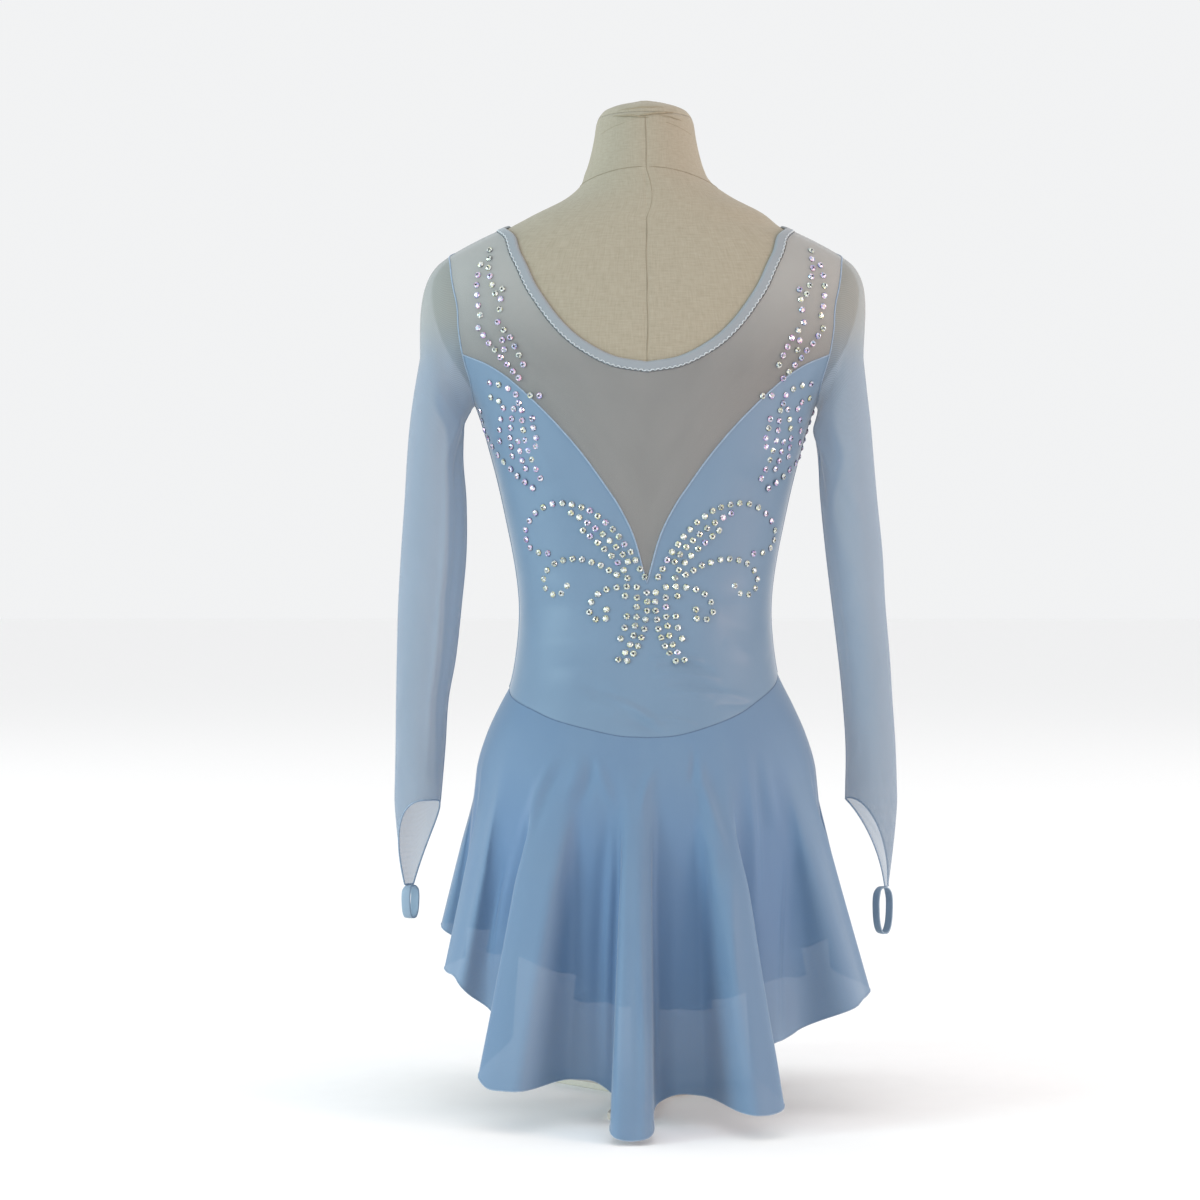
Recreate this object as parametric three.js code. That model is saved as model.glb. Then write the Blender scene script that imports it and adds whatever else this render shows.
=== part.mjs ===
// A long-sleeved figure skating dress on a limbless table-top dress form.
// Millimetres, +Z up. The origin is on the surface the form stands on, under the middle of its base.
// The wearer's front faces -Y, the back with the deep V faces +Y, and the wearer's left is +X.
import * as THREE from "three";

// ---- Driving dimensions ----
const CLOTH = 1.4; // thickness of a cloth wall
const EASE = 2; // clear space between the form and the inside of the cloth
const SEAM = 0.24; // what each piece stands back from a sewn seam
const BINDING_WIDTH = 10;
const NECK_SHOULDER = 838.5; // level of the neckline's inner edge on the shoulder seam
const SHOULDER_FALL = 0.42; // the shoulder's drop for each unit of distance outward
const BINDING_PROUD = 0.5; // how far the neck binding stands out past the mesh
const FORM_SIDES = 32;
const HIP_Z = 325; // the widest level of the hips, below which the skirt hangs free
const POLE_RADIUS = 14;
const FLOOR = 15; // level of the floor below the tables' levels
const FOOT_TURN = 78; // where the back foot points, from +X
const FOOT_REACH = 125; // from the pole's axis to the end of a foot
const FOOT_WIDTH = 26;
const FOOT_THICKNESS = 6;
const HUB_RADIUS = 25;
const COLLAR_RADIUS = 20;
const COLLAR_HEIGHT = 16;
const COLLAR_SLOPE = 5; // height of the collar's sloping top
const POLE_SIDES = 24;
const FOOT_SEGMENTS = 6;
const CAP_GAP = 0.3;
const CAP_SIDES = 28;
const DEGREE = Math.PI / 180;
const STEP = 1e-3; // a small step for slopes
const HALVINGS = 40; // steps of a search by halves
const MOST_STAND_BACK = 0.3; // of a panel's column, where two seams run close together
const LEAST_SLANT = 0.1;

// ---- The form's level sections: half width, depth behind and in front of the middle, squareness ----
const FORM = [
  { z: 232, half: 118, back: 82, front: 66, square: 2.3, middle: 0 },
  { z: 237, half: 129, back: 93, front: 76, square: 2.3, middle: 0 },
  { z: 248, half: 137, back: 101, front: 83, square: 2.3, middle: 0 },
  { z: 275, half: 143, back: 107.5, front: 89, square: 2.3, middle: 0 },
  { z: 300, half: 146, back: 110, front: 91.5, square: 2.3, middle: 0 },
  { z: 330, half: 146, back: 110, front: 93, square: 2.3, middle: 0 },
  { z: 360, half: 140, back: 105, front: 93, square: 2.3, middle: 0 },
  { z: 385, half: 132, back: 97.5, front: 91.5, square: 2.3, middle: 0 },
  { z: 410, half: 123.8, back: 89, front: 89, square: 2.3, middle: 0 },
  { z: 440, half: 118.8, back: 81, front: 86, square: 2.25, middle: 0 },
  { z: 470, half: 116.6, back: 76.5, front: 84, square: 2.25, middle: 0 },
  { z: 495, half: 117.6, back: 76, front: 85, square: 2.25, middle: 0 },
  { z: 525, half: 121.8, back: 77, front: 88, square: 2.3, middle: 0 },
  { z: 560, half: 128.8, back: 79.5, front: 93.5, square: 2.25, middle: 0 },
  { z: 595, half: 136.5, back: 82.5, front: 101, square: 2.25, middle: 0 },
  { z: 625, half: 144.3, back: 85.8, front: 106.7, square: 2.25, middle: 0 },
  { z: 650, half: 151.5, back: 88.5, front: 108.3, square: 2.25, middle: 0 },
  { z: 670, half: 158.5, back: 90, front: 106.5, square: 2.25, middle: 0 },
  { z: 690, half: 168.5, back: 91, front: 102, square: 2.2, middle: 0 },
  { z: 705, half: 178, back: 91.5, front: 97, square: 2.2, middle: 0 },
  { z: 720, half: 187.5, back: 91, front: 92, square: 2.2, middle: 0 },
  { z: 736, half: 194.5, back: 90, front: 86.5, square: 2.15, middle: 0 },
  { z: 752, half: 199.5, back: 87.5, front: 81, square: 2.1, middle: 0 },
  { z: 768, half: 202.6, back: 84.5, front: 76.5, square: 2.1, middle: 0 },
  { z: 780, half: 202.6, back: 82, front: 73, square: 2.1, middle: 0 },
  { z: 790, half: 200, back: 79.5, front: 70.5, square: 2.1, middle: 0 },
  { z: 800, half: 193.5, back: 77, front: 68.5, square: 2.1, middle: 0 },
  { z: 810, half: 181.5, back: 74.5, front: 66.5, square: 2.1, middle: 0 },
  { z: 822, half: 160, back: 71, front: 64.5, square: 2.1, middle: 0 },
  { z: 836, half: 131.5, back: 67, front: 62.5, square: 2.1, middle: -0.5 },
  { z: 851, half: 108, back: 63, front: 60, square: 2.05, middle: -1.5 },
  { z: 865, half: 81, back: 59.5, front: 57.5, square: 2, middle: -3 },
  { z: 879, half: 63.5, back: 56, front: 56, square: 2, middle: -5 },
  { z: 893, half: 56.5, back: 53, front: 54, square: 2, middle: -7 },
  { z: 908, half: 52, back: 50.5, front: 52, square: 2, middle: -9 },
  { z: 925, half: 48.5, back: 48, front: 50, square: 2, middle: -11 },
  { z: 938, half: 46.6, back: 46.6, front: 47.6, square: 2, middle: -12.5 },
  { z: 943, half: 45, back: 45, front: 46, square: 2, middle: -12.5 },
];

// How far the neck and shoulder slopes lean towards the wearer's left.
const LEAN = [
  { z: 838, x: 0 },
  { z: 853, x: -4.5 },
  { z: 868, x: -4 },
  { z: 888, x: 0 },
];

// The domed cap on the neck: radius at each level.
const NECK_CAP = [
  { z: 943, radius: 44.5 },
  { z: 946.5, radius: 42.5 },
  { z: 950.5, radius: 39 },
  { z: 954.5, radius: 30 },
  { z: 957, radius: 18 },
  { z: 958, radius: 0 },
];

// ---- Seam lines on the form. An angle is measured from the centre back (+Y) towards +X. ----
// The armhole, once round: turn 0 is the shoulder point, 90 the back, 180 the armpit, 270 the front.
const ARMHOLE = [
  { turn: 0, angle: 90, z: 812 },
  { turn: 36, angle: 80.5, z: 798 },
  { turn: 72, angle: 76, z: 768 },
  { turn: 99, angle: 75.4, z: 742 },
  { turn: 126, angle: 76.3, z: 715 },
  { turn: 153, angle: 81.5, z: 684 },
  { turn: 180, angle: 90, z: 671 },
  { turn: 207, angle: 99.5, z: 683 },
  { turn: 234, angle: 105, z: 712 },
  { turn: 261, angle: 106.5, z: 742 },
  { turn: 288, angle: 105, z: 768 },
  { turn: 324, angle: 99, z: 798 },
  { turn: 360, angle: 90, z: 812 },
];
const ARMHOLE_STEP = 18; // degrees of turn between stations
const BACK_CORNER = 126; // the turn where the V meets the armhole
const FRONT_CORNER = 234; // the turn where the yoke seam meets the armhole

// The V between mesh and body cloth at the back, and the yoke seam at the front.
// Both go by distance from the centre line.
const BACK_VEE = [
  { x: 0, z: 500.5 },
  { x: 3, z: 511 },
  { x: 12.3, z: 544 },
  { x: 25.7, z: 571.6 },
  { x: 39.5, z: 592.4 },
  { x: 57.8, z: 618 },
  { x: 76.5, z: 640.6 },
  { x: 110.8, z: 676 },
  { x: 142, z: 701.5 },
];
const FRONT_YOKE = [
  { x: 0, z: 648 },
  { x: 20, z: 656 },
  { x: 45, z: 672 },
  { x: 75, z: 690 },
  { x: 105, z: 703 },
  { x: 135, z: 711 },
];
const VEE_STATIONS = 11; // segments of the V on each side
const YOKE_STATIONS = 11;

// The inner edge of the neckline, by distance from the centre, back and front.
const BACK_NECK = [
  { x: 0, z: 703 },
  { x: 30, z: 708.5 },
  { x: 58, z: 723.5 },
  { x: 80, z: 744 },
  { x: 99, z: 771 },
  { x: 114, z: 802 },
  { x: 122.5, z: 825 },
];
const FRONT_NECK = [
  { x: 0, z: 757 },
  { x: 30, z: 761 },
  { x: 58, z: 772 },
  { x: 82, z: 787 },
  { x: 102, z: 806 },
  { x: 115, z: 820 },
  { x: 122.5, z: 829 },
];

// The waist seam between bodice and skirt.
const WAIST = [
  { angle: 0, z: 359.5 },
  { angle: 14, z: 361 },
  { angle: 30, z: 368 },
  { angle: 45, z: 377 },
  { angle: 58, z: 388 },
  { angle: 72, z: 398 },
  { angle: 85, z: 407 },
  { angle: 95, z: 408 },
  { angle: 120, z: 398 },
  { angle: 140, z: 388 },
  { angle: 160, z: 381 },
  { angle: 180, z: 378 },
];
const WAIST_TILT = 7; // how much lower the seam is at the wearer's left side, and higher at the right
const BODICE_ROWS = 9;
const BACK_MESH_ROWS = 5;
const YOKE_ROWS = 4;

// ---- Sleeves: the hanging tube's inner and outer edge from the middle, and its half depth ----
const SLEEVES = {
  left: {
    side: 1,
    tube: [
      { z: 298, inner: 193.5, outer: 239, depth: 24 },
      { z: 345, inner: 189.5, outer: 238, depth: 26 },
      { z: 390, inner: 186.5, outer: 237.5, depth: 27.5 },
      { z: 430, inner: 179.5, outer: 236.8, depth: 29 },
      { z: 480, inner: 174, outer: 235.5, depth: 30.5 },
      { z: 530, inner: 169.5, outer: 232.8, depth: 32 },
      { z: 580, inner: 169.5, outer: 229.3, depth: 33.5 },
      { z: 620, inner: 172.5, outer: 227, depth: 35 },
      { z: 650, inner: 170.5, outer: 224.5, depth: 36.5 },
      { z: 680, inner: 167, outer: 220.5, depth: 39 },
      { z: 720, inner: 166, outer: 213.5, depth: 42 },
    ],
    openTurn: 125,
    tip: { x: 220.5, y: -2, scale: 0.42 },
    loop: { height: 32, width: 19, turn: 60, inward: 2 },
  },
  right: {
    side: -1,
    tube: [
      { z: 298, inner: 189.5, outer: 240, depth: 24 },
      { z: 345, inner: 190, outer: 238.5, depth: 26 },
      { z: 390, inner: 187, outer: 235.5, depth: 27.5 },
      { z: 430, inner: 183, outer: 233, depth: 29 },
      { z: 480, inner: 177, outer: 228.8, depth: 30.5 },
      { z: 530, inner: 171, outer: 226, depth: 32 },
      { z: 580, inner: 166, outer: 221, depth: 33.5 },
      { z: 620, inner: 163, outer: 217.5, depth: 35 },
      { z: 650, inner: 158, outer: 215, depth: 36.5 },
      { z: 680, inner: 157, outer: 211.5, depth: 39 },
      { z: 720, inner: 158, outer: 207, depth: 42 },
    ],
    openTurn: 200,
    tip: { x: 219.5, y: 1, scale: 0.46 },
    loop: { height: 45, width: 18, turn: 35, inward: 5 },
  },
};
const CAP_ROWS = 5; // rows from the armhole down to the free tube
const TUBE_ROWS = 8;
const CUFF_ROWS = 4;
const CAP_HEADING = { out: 0.7, down: 0.6 }; // how the cap leaves the armhole
const CAP_HEADING_TURN = { out: 0.16, deep: 0.15, up: 0.1 }; // and how that varies round the armhole
const CAP_FULLNESS = 1.1;
const ARMPIT_GAP = 1; // the further gap at the armpit
const CLEAR_BLEND = 3; // rounding where the cap is held clear of the form
const CLEAR_SHARE = 0.15; // the share of the cap over which that starts
const TUBE_TOP = 680; // mean level where the cap becomes the tube
const TUBE_TILT = 35; // how much higher the tube starts on its outer side
const LEAST_DROP = 1.5; // the cuff's length at the top of its opening
const POINT_DROP = 84; // and at its point, below the wrist
const POINT_SPAN = 1.13; // how blunt the point is: 1 is sharp
const POINT_CURVE = 1.7; // how hollow the cuff's cut is
const TAPER_CURVE = 1.25; // how late the cuff narrows
const LOOP_BAND = 9; // width of a finger loop's band
const LOOP_WALL = 1.6;
const LOOP_SEGMENTS = 8;

// ---- Skirt folds, once round from the centre back ----
// slope is the ridge's outward run for each unit of drop, hem the ridge's lowest level,
// valley the hem's level half way to the next fold, and width the ridge's share of its fold.
const FOLDS = [
  { angle: 4, slope: 0.32, hem: 19.5, valley: 56, width: 0.19 },
  { angle: 38.5, slope: 0.29, hem: 53, valley: 105, width: 0.24 },
  { angle: 68, slope: 0.225, hem: 141, valley: 156, width: 0.24 },
  { angle: 97, slope: 0.25, hem: 175, valley: 164, width: 0.22 },
  { angle: 130, slope: 0.24, hem: 132, valley: 114, width: 0.22 },
  { angle: 163, slope: 0.27, hem: 74, valley: 80, width: 0.2 },
  { angle: 197, slope: 0.26, hem: 66, valley: 88, width: 0.21 },
  { angle: 230, slope: 0.25, hem: 108, valley: 146, width: 0.22 },
  { angle: 262, slope: 0.255, hem: 167, valley: 152, width: 0.22 },
  { angle: 294, slope: 0.3, hem: 121, valley: 86, width: 0.23 },
  { angle: 333, slope: 0.315, hem: 37, valley: 44, width: 0.19 },
];
// Places across one fold where its section is taken: 0 is the ridge, 0.5 the valley.
const FOLD_STATIONS = [0, 0.08, 0.16, 0.24, 0.33, 0.5, 0.67, 0.76, 0.84, 0.92];
const SKIRT_DROPS = [0, 0.05, 0.11, 0.18, 0.26, 0.35, 0.45, 0.56, 0.67, 0.78, 0.89, 1];
const SKIRT_SPRING = 9.5; // how far the skirt springs out just under the seam
const SPRING_DROP = 25;
const VALLEY_SPRING = 4;
const VALLEY_SLOPE = 0.09;
const FOLD_START = 12; // drop where the folds begin
const FOLD_FULL = 150; // drop where they reach their full shape
const FLANK = 0.13; // half the share of a fold that its flank takes
const RIDGE_BLEND = 2;

// ---- Smooth curves through tables ----

// The value of a column at a place along the table: a cubic through its rows, flat past both ends.
function along(rows, key, place, column) {
  const last = rows.length - 1;
  if (place <= rows[0][key]) return rows[0][column];
  if (place >= rows[last][key]) return rows[last][column];
  let i = 0;
  while (rows[i + 1][key] < place) i += 1;
  const slope = (k) => {
    const before = rows[Math.max(k - 1, 0)];
    const after = rows[Math.min(k + 1, last)];
    return (after[column] - before[column]) / (after[key] - before[key]);
  };
  const span = rows[i + 1][key] - rows[i][key];
  const t = (place - rows[i][key]) / span;
  return hermite(rows[i][column], slope(i) * span, rows[i + 1][column], slope(i + 1) * span, t);
}

function hermite(from, fromSlope, to, toSlope, t) {
  const u = 1 - t;
  return (
    from * u * u * (1 + 2 * t) +
    fromSlope * t * u * u +
    to * t * t * (3 - 2 * t) -
    toSlope * t * t * u
  );
}

function smoothstep(low, high, value) {
  const t = Math.min(1, Math.max(0, (value - low) / (high - low)));
  return t * t * (3 - 2 * t);
}

// The larger of two lengths, with the corner between them rounded over about `blend`.
function softMax(a, b, blend) {
  return 0.5 * (a + b + Math.sqrt((a - b) ** 2 + blend * blend));
}

// ---- The form's surface ----

function formRadius(angle, z) {
  const depth = along(FORM, "z", z, Math.cos(angle) >= 0 ? "back" : "front");
  const square = along(FORM, "z", z, "square");
  const across = Math.abs(Math.sin(angle)) / along(FORM, "z", z, "half");
  const deep = Math.abs(Math.cos(angle)) / depth;
  return (across ** square + deep ** square) ** (-1 / square);
}

function formPoint(angle, z) {
  const r = formRadius(angle, z);
  return new THREE.Vector3(
    along(LEAN, "z", z, "x") + r * Math.sin(angle),
    along(FORM, "z", z, "middle") + r * Math.cos(angle),
    z,
  );
}

function formNormal(angle, z) {
  const round = formPoint(angle + STEP, z).sub(formPoint(angle - STEP, z));
  const up = formPoint(angle, z + STEP).sub(formPoint(angle, z - STEP));
  return up.cross(round).normalize();
}

// A point `out` from the form's surface, along its outward normal.
function offForm(angle, z, out) {
  return formPoint(angle, z).addScaledVector(formNormal(angle, z), out);
}

// The angle, between the centre line and the side, where the form at this level is x from the middle.
function angleAt(x, z, front) {
  let low = 0;
  let high = 90 * DEGREE;
  for (let i = 0; i < HALVINGS; i += 1) {
    const middle = (low + high) / 2;
    const angle = front ? Math.PI - middle : middle;
    if (formPoint(angle, z).x < x) low = middle;
    else high = middle;
  }
  return front ? Math.PI - low : low;
}

// ---- Seam lines as lists of { angle, z }, in radians, from the right side (-X) to the left (+X) ----

function armholeAt(turn) {
  return {
    angle: along(ARMHOLE, "turn", turn, "angle") * DEGREE,
    z: along(ARMHOLE, "turn", turn, "z"),
  };
}

function armholeStations(from, to) {
  const stations = [];
  for (let turn = from; turn <= to; turn += ARMHOLE_STEP) stations.push(armholeAt(turn));
  return stations;
}

// Stations of a seam spread evenly along it.
function spread(stations, steps) {
  const place = [0];
  for (let i = 1; i < stations.length; i += 1) {
    const from = formPoint(stations[i - 1].angle, stations[i - 1].z);
    place.push(place[i - 1] + from.distanceTo(formPoint(stations[i].angle, stations[i].z)));
  }
  const rows = stations.map((station, i) => ({ ...station, place: place[i] }));
  return Array.from({ length: steps + 1 }, (_, i) => {
    const at = (place[place.length - 1] * i) / steps;
    return { angle: along(rows, "place", at, "angle"), z: along(rows, "place", at, "z") };
  });
}

// A seam given by { x, z } rows, from the centre line out to its corner.
function seamFromCentre(rows, corner, steps, front) {
  const found = rows.map(({ x, z }) => ({ angle: angleAt(x, z, front), z }));
  return spread([...found, corner], steps);
}

// The neckline `down` below its inner edge, from the centre line to the shoulder seam.
function neckFromCentre(rows, steps, down, front) {
  const lowered = rows.map((row, i) => {
    const before = rows[Math.max(i - 1, 0)];
    const after = rows[Math.min(i + 1, rows.length - 1)];
    const run = i === 0 ? 1 : after.x - before.x;
    const rise = i === 0 ? 0 : after.z - before.z;
    const length = Math.hypot(run, rise);
    return { x: row.x + (rise / length) * down, z: row.z - (run / length) * down };
  });
  const shoulder = { angle: 90 * DEGREE, z: NECK_SHOULDER - SHOULDER_FALL * down };
  return seamFromCentre(lowered, shoulder, steps, front);
}

// A seam's left half joined to its mirror image, from the right side to the left.
function bothSides(half, front) {
  const mirrored = half.map(({ angle, z }) => ({ angle: front ? 2 * Math.PI - angle : -angle, z }));
  return [...mirrored.reverse(), ...half.slice(1)];
}

function waistAt(angle) {
  const folded = Math.abs(((angle / DEGREE + 540) % 360) - 180);
  return along(WAIST, "angle", folded, "z") - WAIST_TILT * Math.sin(angle) ** 3;
}

// ---- Walls of cloth ----

// A closed wall between an inside and an outside grid of points.
// pointAt(column, row, side) has side 0 for the inside and 1 for the outside.
function wall(columns, rows, closed, pointAt) {
  const stations = closed ? columns : columns + 1;
  const positions = [];
  for (const side of [0, 1])
    for (let row = 0; row <= rows; row += 1)
      for (let column = 0; column < stations; column += 1)
        positions.push(...pointAt(column, row, side).toArray());
  const at = (column, row, side) => (side * (rows + 1) + row) * stations + (column % stations);
  const faces = [];
  const quad = (a, b, c, d) => faces.push(a, b, c, a, c, d);
  for (let i = 0; i < columns; i += 1) {
    for (let j = 0; j < rows; j += 1) {
      quad(at(i, j, 1), at(i + 1, j, 1), at(i + 1, j + 1, 1), at(i, j + 1, 1));
      quad(at(i, j, 0), at(i, j + 1, 0), at(i + 1, j + 1, 0), at(i + 1, j, 0));
    }
    quad(at(i, 0, 0), at(i + 1, 0, 0), at(i + 1, 0, 1), at(i, 0, 1));
    quad(at(i, rows, 1), at(i + 1, rows, 1), at(i + 1, rows, 0), at(i, rows, 0));
  }
  if (!closed)
    for (let j = 0; j < rows; j += 1) {
      quad(at(0, j, 0), at(0, j, 1), at(0, j + 1, 1), at(0, j + 1, 0));
      quad(at(columns, j, 1), at(columns, j, 0), at(columns, j + 1, 0), at(columns, j + 1, 1));
    }
  return facingOut(positions, faces);
}

// A geometry whose triangles face out, whichever way round the grid ran.
function facingOut(positions, faces) {
  let volume = 0;
  const corner = (k) => new THREE.Vector3().fromArray(positions, 3 * k);
  for (let i = 0; i < faces.length; i += 3)
    volume += corner(faces[i]).dot(corner(faces[i + 1]).cross(corner(faces[i + 2])));
  if (volume < 0)
    for (let i = 0; i < faces.length; i += 3)
      [faces[i + 1], faces[i + 2]] = [faces[i + 2], faces[i + 1]];
  return new THREE.BufferGeometry()
    .setAttribute("position", new THREE.Float32BufferAttribute(positions, 3))
    .setIndex(faces);
}

// The share of a column, between two seam lines, that a panel stands back from the seam at one end.
function standBack(seam, column, across) {
  const length = across.length();
  const here = formPoint(seam[column].angle, seam[column].z);
  const slants = [column - 1, column + 1]
    .filter((next) => seam[next])
    .map((next) => formPoint(seam[next].angle, seam[next].z).sub(here).normalize())
    .map((run) => run.cross(across).length() / length);
  const slant = Math.max(Math.min(...slants), LEAST_SLANT);
  return Math.min(MOST_STAND_BACK, SEAM / (length * slant));
}

// A panel that lies on the form between two seam lines with the same number of stations.
function panel(lower, upper, rows) {
  const columns = lower.length - 1;
  const heading = Math.sign(lower[columns].angle - lower[0].angle);
  return wall(columns, rows, false, (column, row, side) => {
    const low = lower[column];
    const high = upper[column];
    const across = formPoint(high.angle, high.z).sub(formPoint(low.angle, low.z));
    const first = standBack(lower, column, across);
    const last = 1 - standBack(upper, column, across);
    const v = first + (last - first) * (row / rows);
    const z = low.z + (high.z - low.z) * v;
    const angle = low.angle + (high.angle - low.angle) * v;
    const end = column === 0 ? 1 : column === columns ? -1 : 0;
    const trim = (heading * end * SEAM) / formRadius(angle, z);
    return offForm(angle + trim, z, EASE + side * CLOTH);
  });
}

// ---- Bodice ----

const backCorner = armholeAt(BACK_CORNER);
const frontCorner = armholeAt(FRONT_CORNER);
const backVee = seamFromCentre(BACK_VEE, backCorner, VEE_STATIONS, false);
const frontYoke = seamFromCentre(FRONT_YOKE, frontCorner, YOKE_STATIONS, true);
const upperBack = armholeStations(0, BACK_CORNER).reverse();
const upperFront = armholeStations(FRONT_CORNER, 360);
const lowerBack = armholeStations(BACK_CORNER, 180);
const lowerFront = armholeStations(180, FRONT_CORNER).reverse();

const backMeshEdge = bothSides([...backVee, ...upperBack.slice(1)], false);
const frontMeshEdge = bothSides([...frontYoke, ...upperFront.slice(1)], true);
const backBodyEdge = bothSides([...backVee, ...lowerBack.slice(1)], false);
const frontBodyEdge = bothSides([...frontYoke, ...lowerFront.slice(1)], true);

// A neckline edge with as many stations as the mesh panel below it.
function neckEdge(rows, meshEdge, down, front) {
  return bothSides(neckFromCentre(rows, (meshEdge.length - 1) / 2, down, front), front);
}

// The waist seam below an upper edge: its stations are spread evenly round the half body.
function waistBelow(edge, front) {
  const count = edge.length - 1;
  return edge.map((_, i) => {
    const turn = (i / count) * Math.PI - Math.PI / 2;
    const angle = front ? Math.PI - turn : turn;
    return { angle, z: waistAt(angle) };
  });
}

function neckBinding() {
  const backInner = neckEdge(BACK_NECK, backMeshEdge, 0, false);
  const backOuter = neckEdge(BACK_NECK, backMeshEdge, BINDING_WIDTH, false);
  const frontInner = neckEdge(FRONT_NECK, frontMeshEdge, 0, true);
  const frontOuter = neckEdge(FRONT_NECK, frontMeshEdge, BINDING_WIDTH, true);
  // Once round: the back from right to left, then the front from left to right.
  const inner = [...backInner.slice(0, -1), ...frontInner.reverse().slice(0, -1)];
  const outer = [...backOuter.slice(0, -1), ...frontOuter.reverse().slice(0, -1)];
  return wall(inner.length, 1, true, (column, row, side) => {
    const from = outer[column];
    const to = inner[column];
    const v = row === 0 ? SEAM / BINDING_WIDTH : 1;
    const z = from.z + (to.z - from.z) * v;
    const angle = from.angle + (to.angle - from.angle) * v;
    return offForm(angle, z, EASE + side * (CLOTH + BINDING_PROUD));
  });
}

// ---- Sleeves ----

function tubePoint(sleeve, turn, z) {
  const inner = along(sleeve.tube, "z", z, "inner");
  const outer = along(sleeve.tube, "z", z, "outer");
  const depth = along(sleeve.tube, "z", z, "depth");
  return new THREE.Vector3(
    (inner + outer) / 2 + ((outer - inner) / 2 - CLOTH / 2) * Math.cos(turn),
    (depth - CLOTH / 2) * Math.sin(turn),
    z,
  );
}

// The level where the free tube starts, higher on its outer side.
const tubeTop = (turn) => TUBE_TOP + TUBE_TILT * Math.cos(turn);

// The cap, from the armhole seam (t 0) over the shoulder to the top of the free tube (t 1).
function capPoint(sleeve, turn, t) {
  const seam = armholeAt(turn / DEGREE);
  const heading = new THREE.Vector3(
    CAP_HEADING.out + CAP_HEADING_TURN.out * Math.cos(turn),
    -CAP_HEADING_TURN.deep * Math.sin(turn),
    -CAP_HEADING.down + CAP_HEADING_TURN.up * Math.cos(turn),
  ).normalize();
  const gap = 3 * SEAM + ARMPIT_GAP * (0.5 - 0.5 * Math.cos(turn)) ** 1.5;
  const from = offForm(seam.angle, seam.z, EASE + CLOTH / 2).addScaledVector(heading, gap);
  const to = tubePoint(sleeve, turn, tubeTop(turn));
  const reach = from.distanceTo(to) * CAP_FULLNESS;
  const point = new THREE.Vector3(
    hermite(from.x, heading.x * reach, to.x, 0, t),
    hermite(from.y, heading.y * reach, to.y, 0, t),
    hermite(from.z, heading.z * reach, to.z, -reach, t),
  );
  return clearOfForm(point, smoothstep(0, CLEAR_SHARE, t));
}

// Moves a point out, away from the form's middle, until cloth there would clear the form.
function clearOfForm(point, share) {
  const middle = along(FORM, "z", point.z, "middle");
  const angle = Math.atan2(point.x, point.y - middle);
  const radius = Math.hypot(point.x, point.y - middle);
  const least = formRadius(angle, point.z) + EASE + CLOTH / 2;
  const wanted = radius + (softMax(radius, least, CLEAR_BLEND) - radius) * share;
  return new THREE.Vector3(
    (point.x * wanted) / radius,
    middle + ((point.y - middle) * wanted) / radius,
    point.z,
  );
}

// The pointed cuff, below the wrist: the tube narrows towards its tip and is cut on a slant.
function cuffPoint(sleeve, turn, t) {
  const wrist = sleeve.tube[0];
  const opposite = 0.5 - 0.5 * Math.cos(turn - sleeve.openTurn * DEGREE);
  const away = Math.min(1, POINT_SPAN * opposite ** POINT_CURVE);
  const drop = (LEAST_DROP + (POINT_DROP - LEAST_DROP) * away) * t;
  const share = drop / POINT_DROP;
  const scale = 1 - (1 - sleeve.tip.scale) * share ** TAPER_CURVE;
  const middle = (wrist.inner + wrist.outer) / 2;
  const ring = tubePoint(sleeve, turn, wrist.z);
  return new THREE.Vector3(
    middle + (sleeve.tip.x - middle) * share + (ring.x - middle) * scale,
    sleeve.tip.y * share + ring.y * scale,
    wrist.z - drop,
  );
}

// The middle of the sleeve's cloth. place runs 0..1 over the cap, 1..2 down the tube, 2..3 down the cuff.
function sleevePoint(sleeve, turn, place) {
  if (place <= 1) return capPoint(sleeve, turn, place);
  if (place >= 2) return cuffPoint(sleeve, turn, place - 2);
  const top = tubeTop(turn);
  return tubePoint(sleeve, turn, top + (sleeve.tube[0].z - top) * (place - 1));
}

function sleeveWall(sleeve) {
  const places = [];
  for (let i = 0; i < CAP_ROWS; i += 1) places.push(i / CAP_ROWS);
  for (let i = 0; i < TUBE_ROWS; i += 1) places.push(1 + i / TUBE_ROWS);
  for (let i = 0; i <= CUFF_ROWS; i += 1) places.push(2 + i / CUFF_ROWS);
  return wall(360 / ARMHOLE_STEP, places.length - 1, true, (column, row, side) => {
    const turn = column * ARMHOLE_STEP * DEGREE;
    const place = places[row];
    const round = sleevePoint(sleeve, turn + STEP, place).sub(
      sleevePoint(sleeve, turn - STEP, place),
    );
    const down = sleevePoint(sleeve, turn, Math.min(3, place + STEP)).sub(
      sleevePoint(sleeve, turn, Math.max(0, place - STEP)),
    );
    const outward = round.cross(down).normalize().negate();
    const point = sleevePoint(sleeve, turn, place).addScaledVector(outward, (side - 0.5) * CLOTH);
    point.x *= sleeve.side;
    return point;
  });
}

// The finger loop below a cuff's point: a band sewn into a long ring.
function fingerLoop({ height, width }) {
  const ring = (inset) => {
    const end = width / 2 - inset;
    const straight = height / 2 - width / 2;
    const outline = new THREE.Path();
    outline.absarc(0, straight, end, 0, Math.PI, false);
    outline.absarc(0, -straight, end, Math.PI, 2 * Math.PI, false);
    outline.closePath();
    return outline;
  };
  const shape = new THREE.Shape(ring(0).getPoints(LOOP_SEGMENTS));
  shape.holes.push(new THREE.Path(ring(LOOP_WALL).getPoints(LOOP_SEGMENTS)));
  const band = new THREE.ExtrudeGeometry(shape, { depth: LOOP_BAND, bevelEnabled: false });
  return band.translate(0, 0, -LOOP_BAND / 2).rotateX(90 * DEGREE);
}

// ---- Skirt ----

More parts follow.
